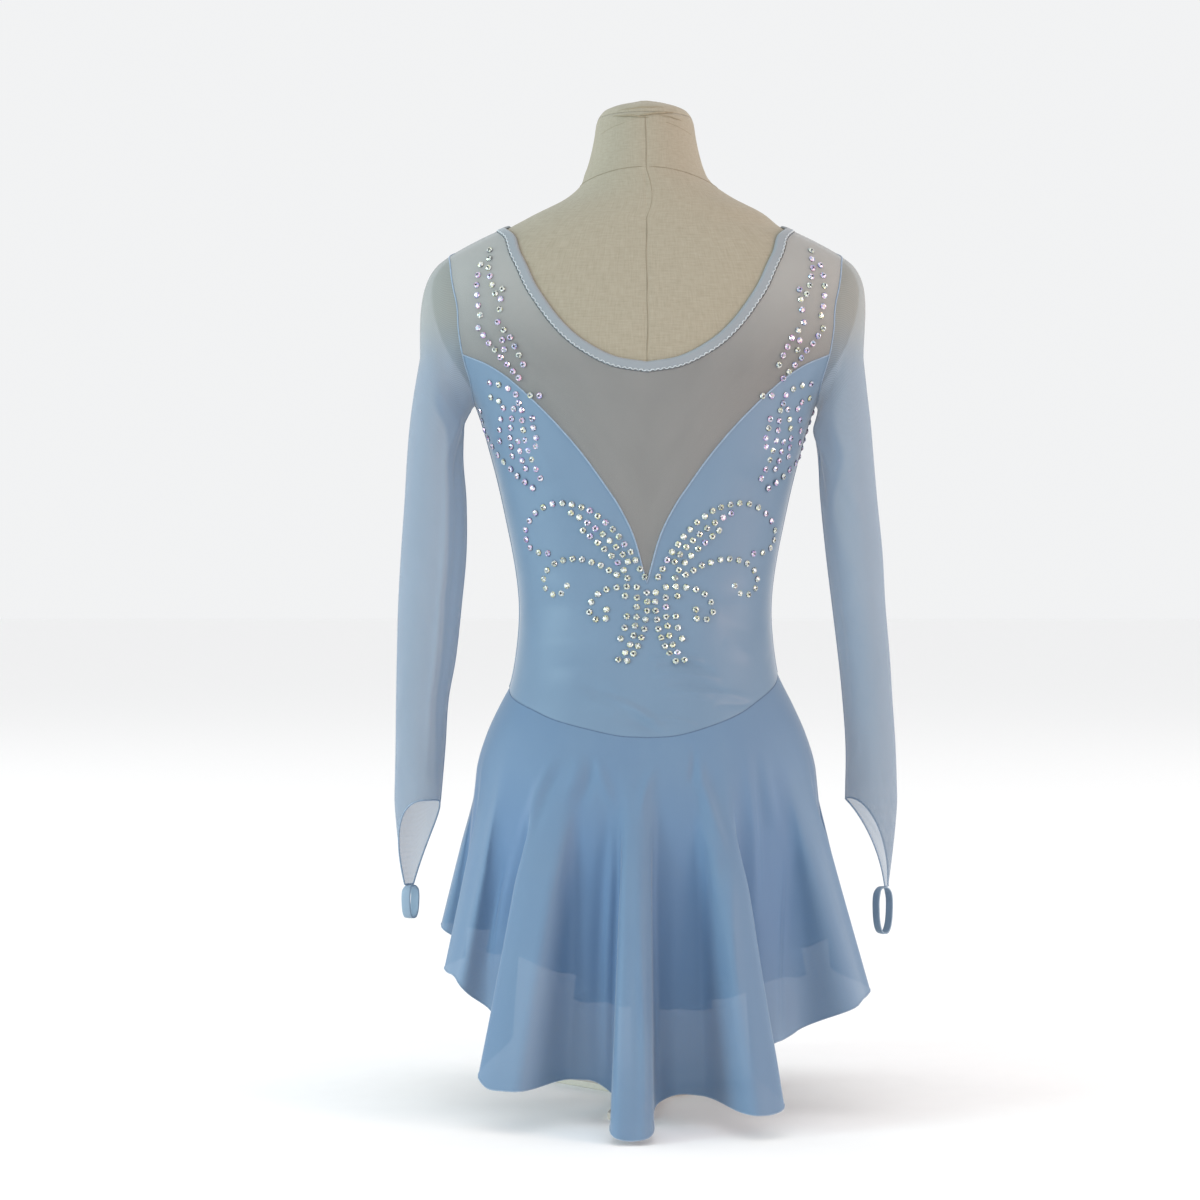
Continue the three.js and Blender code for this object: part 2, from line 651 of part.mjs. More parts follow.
// How far across its fold a station lies (0..0.5), its flanks drawn in towards the upright.
function across(place, width, upright) {
  const spread = (s) => {
    const through = Math.min(1, Math.max(0, (s - width + FLANK) / (2 * FLANK)));
    const held = FLANK * (through - Math.sin(2 * Math.PI * through) / (2 * Math.PI));
    return s - upright * held;
  };
  return (0.5 * spread(place)) / spread(0.5);
}

// The middle of the skirt's cloth. turn is the fold's number, with the place across it as its fraction,
// and share is the share of the drop from the waist seam to the hem.
function skirtPoint(turn, share) {
  const count = FOLDS.length;
  const nearest = Math.round(turn);
  const place = turn - nearest;
  const s = Math.abs(place);
  const fold = FOLDS[(nearest + count) % count];
  const first = place < 0 ? FOLDS[(nearest - 1 + count) % count] : fold;
  const second = place < 0 ? fold : FOLDS[(nearest + 1) % count];
  const gap = ((second.angle - first.angle + 360) % 360) * DEGREE;
  const valleyHem = first.valley;

  const seamAngle = fold.angle * DEGREE + Math.sign(place) * gap * s;
  const hem = fold.hem + (valleyHem - fold.hem) * smoothstep(0, 0.5, s);
  const drop = (waistAt(seamAngle) - hem) * share;
  const grown = smoothstep(FOLD_START, FOLD_FULL, drop);
  const angle = fold.angle * DEGREE + Math.sign(place) * gap * across(s, fold.width, grown);

  const z = waistAt(angle) + (hem - waistAt(angle)) * share;
  const hip = formRadius(angle, Math.max(z, HIP_Z)) + EASE + CLOTH / 2;
  const valley = hip + VALLEY_SPRING * (1 - Math.exp(-drop / SPRING_DROP)) + VALLEY_SLOPE * drop;
  const seam = formRadius(angle, waistAt(angle)) + EASE + CLOTH / 2;
  const ridge = seam + SKIRT_SPRING * (1 - Math.exp(-drop / SPRING_DROP)) + fold.slope * drop;
  const rounded = 1 - smoothstep(fold.width - FLANK, fold.width + FLANK, s);
  const radius = valley + (softMax(ridge, valley, RIDGE_BLEND) - valley) * rounded * grown;
  return new THREE.Vector3(radius * Math.sin(angle), radius * Math.cos(angle), z);
}

function skirtWall() {
  const turns = FOLDS.flatMap((_, k) => FOLD_STATIONS.map((station) => k + station));
  return wall(turns.length, SKIRT_DROPS.length - 1, true, (column, row, side) => {
    const turn = turns[column];
    const share = SKIRT_DROPS[row];
    const point = skirtPoint(turn, share);
    if (row === 0) {
      const angle = Math.atan2(point.x, point.y);
      return offForm(angle, waistAt(angle) - 1.5 * SEAM, EASE + side * CLOTH);
    }
    const round = skirtPoint(turn + STEP, share).sub(skirtPoint(turn - STEP, share));
    const down = skirtPoint(turn, Math.min(1, share + STEP)).sub(skirtPoint(turn, share - STEP));
    return point.addScaledVector(round.cross(down).normalize(), (side - 0.5) * CLOTH);
  });
}

// ---- Dress form ----

function formBody() {
  const positions = [];
  for (const { z } of FORM)
    for (let i = 0; i < FORM_SIDES; i += 1)
      positions.push(...formPoint((i * 2 * Math.PI) / FORM_SIDES, z).toArray());
  const rings = FORM.length;
  const bottom = rings * FORM_SIDES;
  positions.push(0, 0, FORM[0].z, 0, FORM[rings - 1].middle, FORM[rings - 1].z);
  const faces = [];
  const at = (i, j) => j * FORM_SIDES + (i % FORM_SIDES);
  for (let i = 0; i < FORM_SIDES; i += 1) {
    for (let j = 0; j < rings - 1; j += 1)
      faces.push(at(i, j), at(i, j + 1), at(i + 1, j + 1), at(i, j), at(i + 1, j + 1), at(i + 1, j));
    faces.push(bottom, at(i, 0), at(i + 1, 0));
    faces.push(bottom + 1, at(i + 1, rings - 1), at(i, rings - 1));
  }
  return facingOut(positions, faces);
}

function lathe(profile, sides) {
  const points = profile.map(([radius, z]) => new THREE.Vector2(radius, z));
  return new THREE.LatheGeometry(points, sides).rotateX(90 * DEGREE);
}

function neckCap() {
  const dome = NECK_CAP.map(({ z, radius }) => [radius, z + CAP_GAP]);
  const cap = lathe([[0, NECK_CAP[0].z + CAP_GAP], ...dome], CAP_SIDES);
  return cap.translate(0, FORM[FORM.length - 1].middle, 0);
}

// A flat steel base: a round hub with three feet.
function base() {
  const half = FOOT_WIDTH / 2;
  const reach = FOOT_REACH - half;
  const root = Math.asin(half / HUB_RADIUS);
  const outline = new THREE.Shape();
  for (const turn of [FOOT_TURN, FOOT_TURN + 120, FOOT_TURN + 240]) {
    const away = turn * DEGREE;
    const [x, y] = [reach * Math.cos(away), reach * Math.sin(away)];
    outline.absarc(x, y, half, away - 90 * DEGREE, away + 90 * DEGREE, false);
    outline.absarc(0, 0, HUB_RADIUS, away + root, away + 120 * DEGREE - root, false);
  }
  return new THREE.ExtrudeGeometry(outline, {
    depth: FOOT_THICKNESS,
    bevelEnabled: false,
    curveSegments: FOOT_SEGMENTS,
  });
}

// The pole, with the collar that screws it to the base.
function pole() {
  const low = FLOOR + FOOT_THICKNESS + CAP_GAP;
  const collarTop = FLOOR + FOOT_THICKNESS + COLLAR_HEIGHT;
  const high = FORM[0].z - CAP_GAP;
  const profile = [
    [0, low],
    [COLLAR_RADIUS, low],
    [COLLAR_RADIUS, collarTop],
    [POLE_RADIUS, collarTop + COLLAR_SLOPE],
    [POLE_RADIUS, high],
    [0, high],
  ];
  return lathe(profile, POLE_SIDES);
}

// ---- Finishes ----

const finish = (colour, roughness, metalness = 0) =>
  new THREE.MeshStandardMaterial({ color: colour, roughness, metalness });
const bodyCloth = finish(0x84a3bc, 0.55);
const skirtCloth = finish(0x7ca0c4, 0.65);
const meshCloth = finish(0x9aa7b0, 0.8);
const sleeveMesh = finish(0x9db4c6, 0.8);
const bindingCloth = finish(0xa5b3bd, 0.7);
const linen = finish(0xb7b19c, 0.9);
const paintedSteel = finish(0xe2e0da, 0.4, 0.3);

// ---- The dress on its form ----

const model = new THREE.Group();

function add(name, geometry, material, place = (mesh) => mesh) {
  const mesh = new THREE.Mesh(geometry, material);
  mesh.name = name;
  place(mesh);
  model.add(mesh);
}

add(
  "back_mesh",
  panel(backMeshEdge, neckEdge(BACK_NECK, backMeshEdge, BINDING_WIDTH, false), BACK_MESH_ROWS),
  meshCloth,
);
add(
  "front_mesh",
  panel(frontMeshEdge, neckEdge(FRONT_NECK, frontMeshEdge, BINDING_WIDTH, true), YOKE_ROWS),
  meshCloth,
);
add("back_body", panel(waistBelow(backBodyEdge, false), backBodyEdge, BODICE_ROWS), bodyCloth);
add("front_body", panel(waistBelow(frontBodyEdge, true), frontBodyEdge, BODICE_ROWS), bodyCloth);
add("neck_binding", neckBinding(), bindingCloth);
for (const [name, sleeve] of Object.entries(SLEEVES)) {
  add(`${name}_sleeve`, sleeveWall(sleeve), sleeveMesh);
  add(`${name}_finger_loop`, fingerLoop(sleeve.loop), sleeveMesh, (mesh) => {
    const { height, turn, inward } = sleeve.loop;
    const end = cuffPoint(sleeve, (sleeve.openTurn + 180) * DEGREE, 1);
    mesh.position.set(sleeve.side * (end.x - inward), end.y, end.z - 2 * SEAM - height / 2);
    mesh.rotation.z = turn * DEGREE;
  });
}
add("skirt", skirtWall(), skirtCloth);
add("form_body", formBody(), linen);
add("form_neck_cap", neckCap(), linen);
add("form_pole", pole(), paintedSteel);
add("form_base", base(), paintedSteel, (mesh) => mesh.position.set(0, 0, FLOOR));
model.position.z = -FLOOR;

export default model;
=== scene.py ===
"""The look of a figure skating dress on its table-top dress form.

Lengths in this script are millimetres until a mesh is made, and levels are counted as in the part:
FLOOR is the level of the surface that the stand rests on.
"""

import math

import bpy
import numpy as np
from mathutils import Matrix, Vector


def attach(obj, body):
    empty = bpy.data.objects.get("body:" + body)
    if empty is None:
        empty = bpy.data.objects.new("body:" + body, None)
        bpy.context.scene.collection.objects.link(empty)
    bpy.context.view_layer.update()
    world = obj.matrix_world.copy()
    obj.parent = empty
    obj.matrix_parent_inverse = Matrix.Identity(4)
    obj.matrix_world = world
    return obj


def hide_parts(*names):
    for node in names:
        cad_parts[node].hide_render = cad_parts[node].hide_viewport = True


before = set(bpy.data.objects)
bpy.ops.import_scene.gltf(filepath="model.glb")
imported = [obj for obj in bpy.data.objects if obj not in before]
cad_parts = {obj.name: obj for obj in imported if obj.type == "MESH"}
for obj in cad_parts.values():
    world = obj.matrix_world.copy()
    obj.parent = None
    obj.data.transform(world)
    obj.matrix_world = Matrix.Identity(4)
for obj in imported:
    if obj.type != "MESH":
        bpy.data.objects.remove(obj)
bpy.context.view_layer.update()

# ---- driving dimensions

FLOOR = 15.0  # level of the surface the stand rests on
MM = 0.001
EASE = 2.0  # the form to the inside of the solid cloth
CLOTH = 1.4  # thickness of the solid cloth
SKIN = EASE + 0.6  # the form to the outside of the visible cloth
LEAST_OUT = 1.0  # a crease never comes nearer to the form
SEAM = 0.24  # how far a piece stops short of its seam line
BINDING_WIDTH = 10.0
NECK_SHOULDER = 838.5  # level of the neck's edge on the shoulder
SHOULDER_FALL = 0.42
HIP_Z = 325.0  # below this the skirt hangs clear of the form
WAIST_TILT = 7.0
STEP = 1e-3  # between the two points that a surface's direction is taken from
KNIT_THICK, BINDING_THICK, LOOP_THICK = 0.8, 0.6, 1.2
SIDE_CORD, UNDERARM_CORD, HEM_CORD = 0.6, 0.45, 0.55  # radii of the sewn lines
SEAM_CORD, WAIST_CORD, ARM_CORD, CUFF_CORD = 0.75, 0.7, 0.8, 0.8
ARM_LOW, ARM_HIGH = 669, 812  # the levels of an armhole's lowest and highest point
STONE = 3.15  # radius of a rhinestone
STONE_GAP = 0.3
STONE_STRAY = 0.35  # how far a stone may lie from its place in the pattern
STONE_PITCH = 8.9
PATH_STEPS = 20  # along a frond, from one stone to the next
CURL_LATE = 3.0  # how late a frond's curl sets in
rng = np.random.default_rng(7)


def table(text):
    """A table with named columns, one row a line, as arrays. `along` looks rows up by the first column."""
    columns, *rows = text.strip().splitlines()
    values = np.array([[float(value) for value in row.split()] for row in rows])
    return {name: values[:, i] for i, name in enumerate(columns.split())}


def creases(text):
    """Soft creases: from (x1, z1) to (x2, z2), how wide, and how far out (+) or in (-) they reach."""
    return table("x1 z1 x2 z2 width height" + text)


FORM = table("""
z half back front square middle
232 118 82 66 2.3 0
237 129 93 76 2.3 0
248 137 101 83 2.3 0
275 143 107.5 89 2.3 0
300 146 110 91.5 2.3 0
330 146 110 93 2.3 0
360 140 105 93 2.3 0
385 132 97.5 91.5 2.3 0
410 123.8 89 89 2.3 0
440 118.8 81 86 2.25 0
470 116.6 76.5 84 2.25 0
495 117.6 76 85 2.25 0
525 121.8 77 88 2.3 0
560 128.8 79.5 93.5 2.25 0
595 136.5 82.5 101 2.25 0
625 144.3 85.8 106.7 2.25 0
650 151.5 88.5 108.3 2.25 0
670 158.5 90 106.5 2.25 0
690 168.5 91 102 2.2 0
705 178 91.5 97 2.2 0
720 187.5 91 92 2.2 0
736 194.5 90 86.5 2.15 0
752 199.5 87.5 81 2.1 0
768 202.6 84.5 76.5 2.1 0
780 202.6 82 73 2.1 0
790 200 79.5 70.5 2.1 0
800 193.5 77 68.5 2.1 0
810 181.5 74.5 66.5 2.1 0
822 160 71 64.5 2.1 0
836 131.5 67 62.5 2.1 -0.5
851 108 63 60 2.05 -1.5
865 81 59.5 57.5 2 -3
879 63.5 56 56 2 -5
893 56.5 53 54 2 -7
908 52 50.5 52 2 -9
925 48.5 48 50 2 -11
938 46.6 46.6 47.6 2 -12.5
943 45 45 46 2 -12.5
""")
LEAN = table("""
z x
838 0
853 -4.5
868 -4
888 0
""")
NECK_CAP = table("""
z radius
943 44.5
946.5 42.5
950.5 39
954.5 30
957 18
958 0
""")
ARMHOLE = table("""
turn angle z
0 90 812
36 80.5 798
72 76 768
99 75.4 742
126 76.3 715
153 81.5 684
180 90 671
207 99.5 683
234 105 712
261 106.5 742
288 105 768
324 99 798
360 90 812
""")
BACK_CORNER = 126
FRONT_CORNER = 234
BACK_VEE = table("""
x z
0 500.5
3 511
12.3 544
25.7 571.6
39.5 592.4
57.8 618
76.5 640.6
110.8 676
142 701.5
""")
FRONT_YOKE = table("""
x z
0 648
20 656
45 672
75 690
105 703
135 711
""")
BACK_NECK = table("""
x z
0 703
30 708.5
58 723.5
80 744
99 771
114 802
122.5 825
""")
FRONT_NECK = table("""
x z
0 757
30 761
58 772
82 787
102 806
115 820
122.5 829
""")
WAIST = table("""
angle z
0 359.5
14 361
30 368
45 377
58 388
72 398
85 407
95 408
120 398
140 388
160 381
180 378
""")
LEFT_SLEEVE = {
    "name": "left_sleeve",
    "side": 1,
    "tube": table("""
z inner outer depth
298 193.5 239 24
345 189.5 238 26
390 186.5 237.5 27.5
430 179.5 236.8 29
480 174 235.5 30.5
530 169.5 232.8 32
580 169.5 229.3 33.5
620 172.5 227 35
650 170.5 224.5 36.5
680 167 220.5 39
720 166 213.5 42
"""),
    "open_turn": 125,
    "tip": {"x": 220.5, "y": -2, "scale": 0.42},
}
RIGHT_SLEEVE = {
    "name": "right_sleeve",
    "side": -1,
    "tube": table("""
z inner outer depth
298 189.5 240 24
345 190 238.5 26
390 187 235.5 27.5
430 183 233 29
480 177 228.8 30.5
530 171 226 32
580 166 221 33.5
620 163 217.5 35
650 158 215 36.5
680 157 211.5 39
720 158 207 42
"""),
    "open_turn": 200,
    "tip": {"x": 219.5, "y": 1, "scale": 0.46},
}
TUBE_TOP = 680.0
TUBE_TILT = 35.0
LEAST_DROP = 1.5
POINT_DROP = 84.0
POINT_SPAN = 1.13
FOLDS = table("""
angle slope hem valley width
4 0.32 19.5 56 0.19
38.5 0.29 53 105 0.24
68 0.225 141 156 0.24
97 0.25 175 164 0.22
130 0.24 132 114 0.22
163 0.27 74 80 0.2
197 0.26 66 88 0.21
230 0.25 108 146 0.22
262 0.255 167 152 0.22
294 0.3 121 86 0.23
333 0.315 37 44 0.19
""")
SKIRT_SPRING = 9.5
SPRING_DROP = 25.0
VALLEY_SPRING = 4.0
VALLEY_SLOPE = 0.09
FOLD_STATIONS = 48
FOLD_START = 12.0
FOLD_FULL = 150.0
FLANK = 0.13
DEEPEST_SHADE = 0.45  # how far the cloth inside a fold goes towards its second colour: painted shade in the fold valleys
HEAD_TONE = 0.7  # and a sleeve's head, which the form's linen shows through
HEAD_LEVELS = (692, 760)
YOKE_LIGHT = 0.9  # and the mesh over the shoulders, made lighter there as painted light
YOKE_LIGHT_LEVELS = (690, 795)

# The bodice's drag lines: over the waist, at the sides and below the armholes.
BACK_CREASES = creases("""
44 399 -18 364 4.6 3.4
30 379 -24 358 6 -1.8
66 409 8 381 6 -1.6
58 392 12 376 5 1.2
2 374 -46 371 3 1.6
-2 431 -52 428 2.6 2
-8 424 -62 420 2.6 -1.9
-4 416 -68 411 2.8 2.1
-18 407 -74 400 3 -1.9
-12 398 -60 395 2.8 1.4
-40 399 -96 392 3.2 1.6
-60 388 -104 384 3 -1.4
30 432 92 420 8 1.1
44 452 104 446 9 -1
118 640 84 596 9 1.3
-118 642 -88 600 9 1.3
128 612 100 560 9 -1.2
-126 615 -98 566 9 -1.2
104 505 60 486 9 1.1
-100 500 -52 488 9 1.1
112 470 70 480 8 -1
-110 456 -66 470 8 -1.1
-112 430 -70 446 8 1.1
""")
FRONT_CREASES = creases("""
122 664 84 634 9 1.2
-124 660 -82 640 9 1.1
118 636 76 596 10 -1
-116 640 -80 590 10 -1
100 520 40 496 10 1
-98 512 -44 490 10 0.9
16 440 84 424 5 1.2
-10 430 -76 416 5 1.2
10 424 78 410 5 -1
-24 412 -88 402 4 -0.9
30 404 96 398 4 1
""")
# Pinches where the skirt's folds start, and soft breaks along them.
SKIRT_BACK_CREASES = creases("""
60 350 76 300 6 2.6
50 348 62 296 5 -2.4
38 45 28 305 5 2.4
46 60 36 300 6 -2.6
28 296 45 346 5 2.4
0 45 8 290 5 2.4
-9 60 -1 290 6 -2.6
8 280 -7 338 5 2.4
-38 366 -41 318 4 -4.2
-78 50 -75 262 5 2.6
-68 60 -66 260 6 -2.8
-75 250 -40 354 5 2.6
-62 262 -46 318 5 -2
-117 60 -124 268 5 2.4
-127 80 -134 260 6 -2.4
-124 258 -106 348 5 2.2
-90 350 -98 190 5 2
-99 345 -106 190 5 -2
142 125 118 262 5 2.6
151 140 128 258 6 -2.6
119 250 82 348 5 2.6
108 262 74 342 6 -2.2
18 345 17 230 12 1.6
-52 345 -80 235 8 -2
126 350 150 240 8 2.2
-118 345 -140 240 8 2
66 250 60 120 14 1.8
-30 260 -40 110 14 1.8
""")
SKIRT_FRONT_CREASES = creases("""
40 368 52 300 7 2.2
-36 366 -44 300 7 2
6 372 2 310 6 -2.2
78 372 96 300 8 2
-76 374 -98 296 8 2
60 360 70 290 6 -1.8
-58 362 -66 290 6 -1.8
20 250 14 130 14 1.6
-90 250 -110 150 12 1.4
""")
MESH_CREASES = creases("""
8 530 60 640 10 0.5
-8 536 -52 636 10 0.5
150 780 142 726 7 0.8
-152 778 -140 722 7 0.8
128 742 106 700 8 -0.6
-126 742 -108 702 8 -0.6
""")
# Painted shade on a sleeve's inner side, darker and bluer, partly standing for the doubled cloth there: where
# round the sleeve it starts at each level.
INNER_SHADE_END = (228, 262)
INNER_SIDE_SHADES = {
    "left_sleeve": table("""
z start soft share
275 150 16 0.4
330 134 9 0.8
450 125 6 1
560 118 6 1
640 116 6 1
668 86 9 0.9
694 80 14 0
"""),
    "right_sleeve": table("""
z start soft share
275 95 40 0.3
420 92 38 0.4
510 112 26 0.6
570 132 9 0.9
618 103 9 0.9
650 110 9 0.9
690 102 14 0
"""),
}
# Creases along a sleeve, by turn in degrees and level.
SLEEVE_CREASES = {
    "left_sleeve": creases("""
118 660 112 320 7 2.4
146 650 138 335 13 -3.4
160 668 112 612 7 2.2
186 660 136 588 9 -2.8
206 660 236 610 8 1.8
60 520 120 496 8 1.3
150 500 96 470 8 -1.2
330 500 262 478 10 1.4
250 470 200 452 9 -1.4
70 400 20 372 9 1.2
100 318 170 300 8 1.8
40 330 90 306 9 -1.2
280 350 230 322 9 1.4
"""),
    "right_sleeve": creases("""
176 660 130 600 8 2.2
202 655 148 570 9 -2.4
150 560 148 360 14 -2
112 600 70 560 12 1.4
226 640 250 590 8 1.6
95 500 150 470 10 1.3
300 520 240 490 10 -1.3
60 430 110 404 9 -1.1
120 350 170 322 9 1.4
20 340 70 316 10 1
290 360 250 330 9 1.2
"""),
}

# Rhinestone fronds on the left half; the right half is the mirror image. A frond starts x from the
# pattern's own centre line, at level z and on a heading (0 is outward, 90 is up), and turns evenly by
# `turn` degrees along its length. Near its end it curls by `curl` degrees more. pink is the share of
# pink and violet stones in it.
PATTERN_MIDDLE = -4.0
FRONDS = table("""
x z heading length turn curl pink
6 506 63 186 -38 -215 0.3
16 513 56 104 -32 -14 0.2
25 513 52 52 -16 0 0.1
58 566 24 46 -24 -20 0.4
31 508 34 114 -52 -250 0
13 497 4 84 -42 -270 0
4 492 -93 68 26 24 0
13 487 -88 62 4 52 0.1
24 489 -128 20 34 0 0
22 505 40 74 -40 -20 0
12 523 62 60 -26 0 0.2
4 478 -90 20 0 0 0
22 470 -84 22 20 0 0
108 589 38 92 30 16 0.8
101 598 62 66 26 0 0.8
114 607 66 62 36 0 0.9
124 611 72 52 34 0 0.8
131 620 78 38 26 0 0.7
107 644 82 26 -22 0 0.5
104 610 88 34 0 0 0.8
138 634 84 30 24 0 0.8
112 661 58 46 -34 -20 0.7
119 655 44 34 -18 0 0.8
102 673 6 16 0 0 0.5
121 690 52 60 -8 14 0.8
117 702 70 46 -22 0 0.7
134 716 74 56 28 0 0.7
150 731 66 66 30 12 0.6
143 768 66 42 34 0 0.4
""")


# ---- curves through tables


def neighbours(count):
    """The row before and the row after each one; an end row is its own neighbour."""
    every = np.arange(count)
    return np.maximum(every - 1, 0), np.minimum(every + 1, count - 1)


def along(rows, place, column):
    """The value of a column at each place: a cubic through the rows, flat past both ends."""
    xs, ys = next(iter(rows.values())), rows[column]
    before, after = neighbours(len(xs))
    slopes = (ys[after] - ys[before]) / (xs[after] - xs[before])
    place = np.clip(place, xs[0], xs[-1])
    i = np.clip(np.searchsorted(xs, place, side="left") - 1, 0, len(xs) - 2)
    span = xs[i + 1] - xs[i]
    t = (place - xs[i]) / span
    return hermite(ys[i], slopes[i] * span, ys[i + 1], slopes[i + 1] * span, t)


def hermite(start, start_slope, end, end_slope, t):
    u = 1 - t
    return (
        start * u * u * (1 + 2 * t)
        + start_slope * t * u * u
        + end * t * t * (3 - 2 * t)
        - end_slope * t * t * u
    )


def smoothstep(low, high, value):
    t = np.clip((value - low) / (high - low), 0, 1)
    return t * t * (3 - 2 * t)


def soft_max(a, b, blend):
    return 0.5 * (a + b + np.sqrt((a - b) ** 2 + blend * blend))


def full_turn(count):
    return np.linspace(0, 2 * math.pi, count, endpoint=False)


def distance_along(path):
    return np.concatenate([[0], np.cumsum(np.linalg.norm(np.diff(path, axis=0), axis=1))])


def unit(vectors):
    length = np.linalg.norm(vectors, axis=-1, keepdims=True)
    return vectors / np.maximum(length, 1e-9)


# ---- the form


def form_radius(angle, z):
    depth = np.where(np.cos(angle) >= 0, along(FORM, z, "back"), along(FORM, z, "front"))
    square = along(FORM, z, "square")
    across = np.abs(np.sin(angle)) / along(FORM, z, "half")
    deep = np.abs(np.cos(angle)) / depth
    return (across**square + deep**square) ** (-1 / square)


def wall_radius(angle, z):
    """The middle of a solid wall of cloth that lies on the form."""
    return form_radius(angle, z) + EASE + CLOTH / 2


def form_point(angle, z):
    angle, z = np.broadcast_arrays(np.asarray(angle, float), np.asarray(z, float))
    r = form_radius(angle, z)
    x = along(LEAN, z, "x") + r * np.sin(angle)
    y = along(FORM, z, "middle") + r * np.cos(angle)
    return np.stack([x, y, z], -1)


def form_normal(angle, z):
    angle, z = np.broadcast_arrays(np.asarray(angle, float), np.asarray(z, float))
    turned = form_point(angle + STEP, z) - form_point(angle - STEP, z)
    up = form_point(angle, z + STEP) - form_point(angle, z - STEP)
    return unit(np.cross(up, turned))


def off_form(angle, z, out):
    """Points `out` from the form's surface, along its outward normal."""
    out = np.asarray(out, float)
    return form_point(angle, z) + form_normal(angle, z) * out[..., None]


def angle_at(x, z, front):
    """The angle between the centre line and the side where the form is x from the middle."""
    x, z = np.broadcast_arrays(np.asarray(x, float), np.asarray(z, float))
    low, high = np.zeros(x.shape), np.full(x.shape, math.pi / 2)
    for _ in range(40):
        middle = (low + high) / 2
        angle = math.pi - middle if front else middle
        short = form_point(angle, z)[..., 0] < x
        low, high = np.where(short, middle, low), np.where(short, high, middle)
    return math.pi - low if front else low


# ---- seam lines, as arrays of (angle, z)


def armhole(turns):
    angle = np.radians(along(ARMHOLE, turns, "angle"))
    return np.stack([angle, along(ARMHOLE, turns, "z")], -1)


def spread(line, steps):
    """The same seam line, with its stations spread evenly along it."""
    points = form_point(*line.T)
    place = distance_along(points)
    rows = {"place": place, "angle": line[:, 0], "z": line[:, 1]}
    at = np.linspace(0, place[-1], steps + 1)
    return np.stack([along(rows, at, c) for c in ("angle", "z")], -1)


def seam_from_centre(x, z, corner, steps, front):
    found = np.stack([angle_at(x, z, front), z], -1)
    return spread(np.concatenate([found, [corner]]), steps)


def neck_from_centre(rows, steps, down, front):
    """The neckline `down` below its inner edge, from the centre line to the shoulder seam."""
    x, z = rows["x"], rows["z"]
    before, after = neighbours(len(x))
    run, rise = x[after] - x[before], z[after] - z[before]
    run[0], rise[0] = 1, 0
    length = np.hypot(run, rise)
    shoulder = (math.pi / 2, NECK_SHOULDER - SHOULDER_FALL * down)
    x, z = x + rise / length * down, z - run / length * down
    return seam_from_centre(x, z, shoulder, steps, front)


def both_sides(half, front):
    """A seam's left half joined to its mirror image, from the right side to the left."""
    mirrored = half.copy()
    mirrored[:, 0] = 2 * math.pi - half[:, 0] if front else -half[:, 0]
    return np.concatenate([mirrored[::-1], half[1:]])


def waist_at(angle):
    folded = np.abs((np.degrees(angle) + 540) % 360 - 180)
    return along(WAIST, folded, "z") - WAIST_TILT * np.sin(angle) ** 3


FINE = 6  # stations for each one of the solid's


def seam_across(rows, corner, front):
    """The half of the V or of the yoke's lower edge that runs to the armhole's corner."""
    return seam_from_centre(rows["x"], rows["z"], armhole(np.array([corner]))[0], 11 * FINE, front)


def panel_edge(half, corner, end, steps, front):
    """A panel's edge: that seam and the armhole from its corner on, on both sides."""
    arm = armhole(np.linspace(corner, end, steps * FINE + 1))
    return both_sides(np.concatenate([half, arm[1:]]), front)


back_vee = seam_across(BACK_VEE, BACK_CORNER, False)
front_yoke = seam_across(FRONT_YOKE, FRONT_CORNER, True)
back_mesh_edge = panel_edge(back_vee, BACK_CORNER, 0, 7, False)
front_mesh_edge = panel_edge(front_yoke, FRONT_CORNER, 360, 7, True)
back_body_edge = panel_edge(back_vee, BACK_CORNER, 180, 3, False)
front_body_edge = panel_edge(front_yoke, FRONT_CORNER, 180, 3, True)


def neck_edge(rows, mesh_edge, down, front):
    return both_sides(neck_from_centre(rows, (len(mesh_edge) - 1) // 2, down, front), front)


def waist_below(edge, front):
    turn = np.linspace(-math.pi / 2, math.pi / 2, len(edge))
    angle = math.pi - turn if front else turn
    return np.stack([angle, waist_at(angle)], -1)


# ---- creases


def crease(across, up, rows):
    """How far soft creases lift the cloth at each (across, up) place."""
    lift = np.zeros(np.broadcast(across, up).shape)
    for k in range(len(rows["x1"])):
        x1, z1 = rows["x1"][k], rows["z1"][k]
        dx, dz = rows["x2"][k] - x1, rows["z2"][k] - z1
        length = math.hypot(dx, dz)
        t = ((across - x1) * dx + (up - z1) * dz) / length**2
        bow = min(0.06 * length, 3.0) * np.sin(math.pi * np.clip(t, 0, 1))
        aside = ((across - x1) * dz - (up - z1) * dx) / length - bow
        fade = np.sin(math.pi * np.clip(t, 0, 1)) ** 0.8
        lift += rows["height"][k] * fade * np.exp(-((aside / rows["width"][k]) ** 2))
    return lift


# ---- meshes


def to_metres(points):
    moved = np.array(points, float).reshape(-1, 3)
    moved[:, 2] -= FLOOR
    return moved * MM


def placed(name, data):
    """An object in the scene that carries a mesh, a lamp or a camera."""
    obj = bpy.data.objects.new(name, data)
    bpy.context.scene.collection.objects.link(obj)
    return obj


def make_object(name, points, faces, material, uv=None, smooth=True):
    mesh = bpy.data.meshes.new(name)
    mesh.from_pydata(to_metres(points).tolist(), [], [tuple(map(int, f)) for f in faces])
    mesh.materials.append(material)
    if smooth:
        mesh.shade_smooth()
    if uv is not None:
        layer = mesh.uv_layers.new(name="cloth")
        loops = np.empty(len(mesh.loops), np.int32)
        mesh.loops.foreach_get("vertex_index", loops)
        layer.data.foreach_set("uv", uv.reshape(-1, 2)[loops].astype(np.float32).ravel())
    mesh.validate()
    mesh.update()
    return placed(name, mesh)


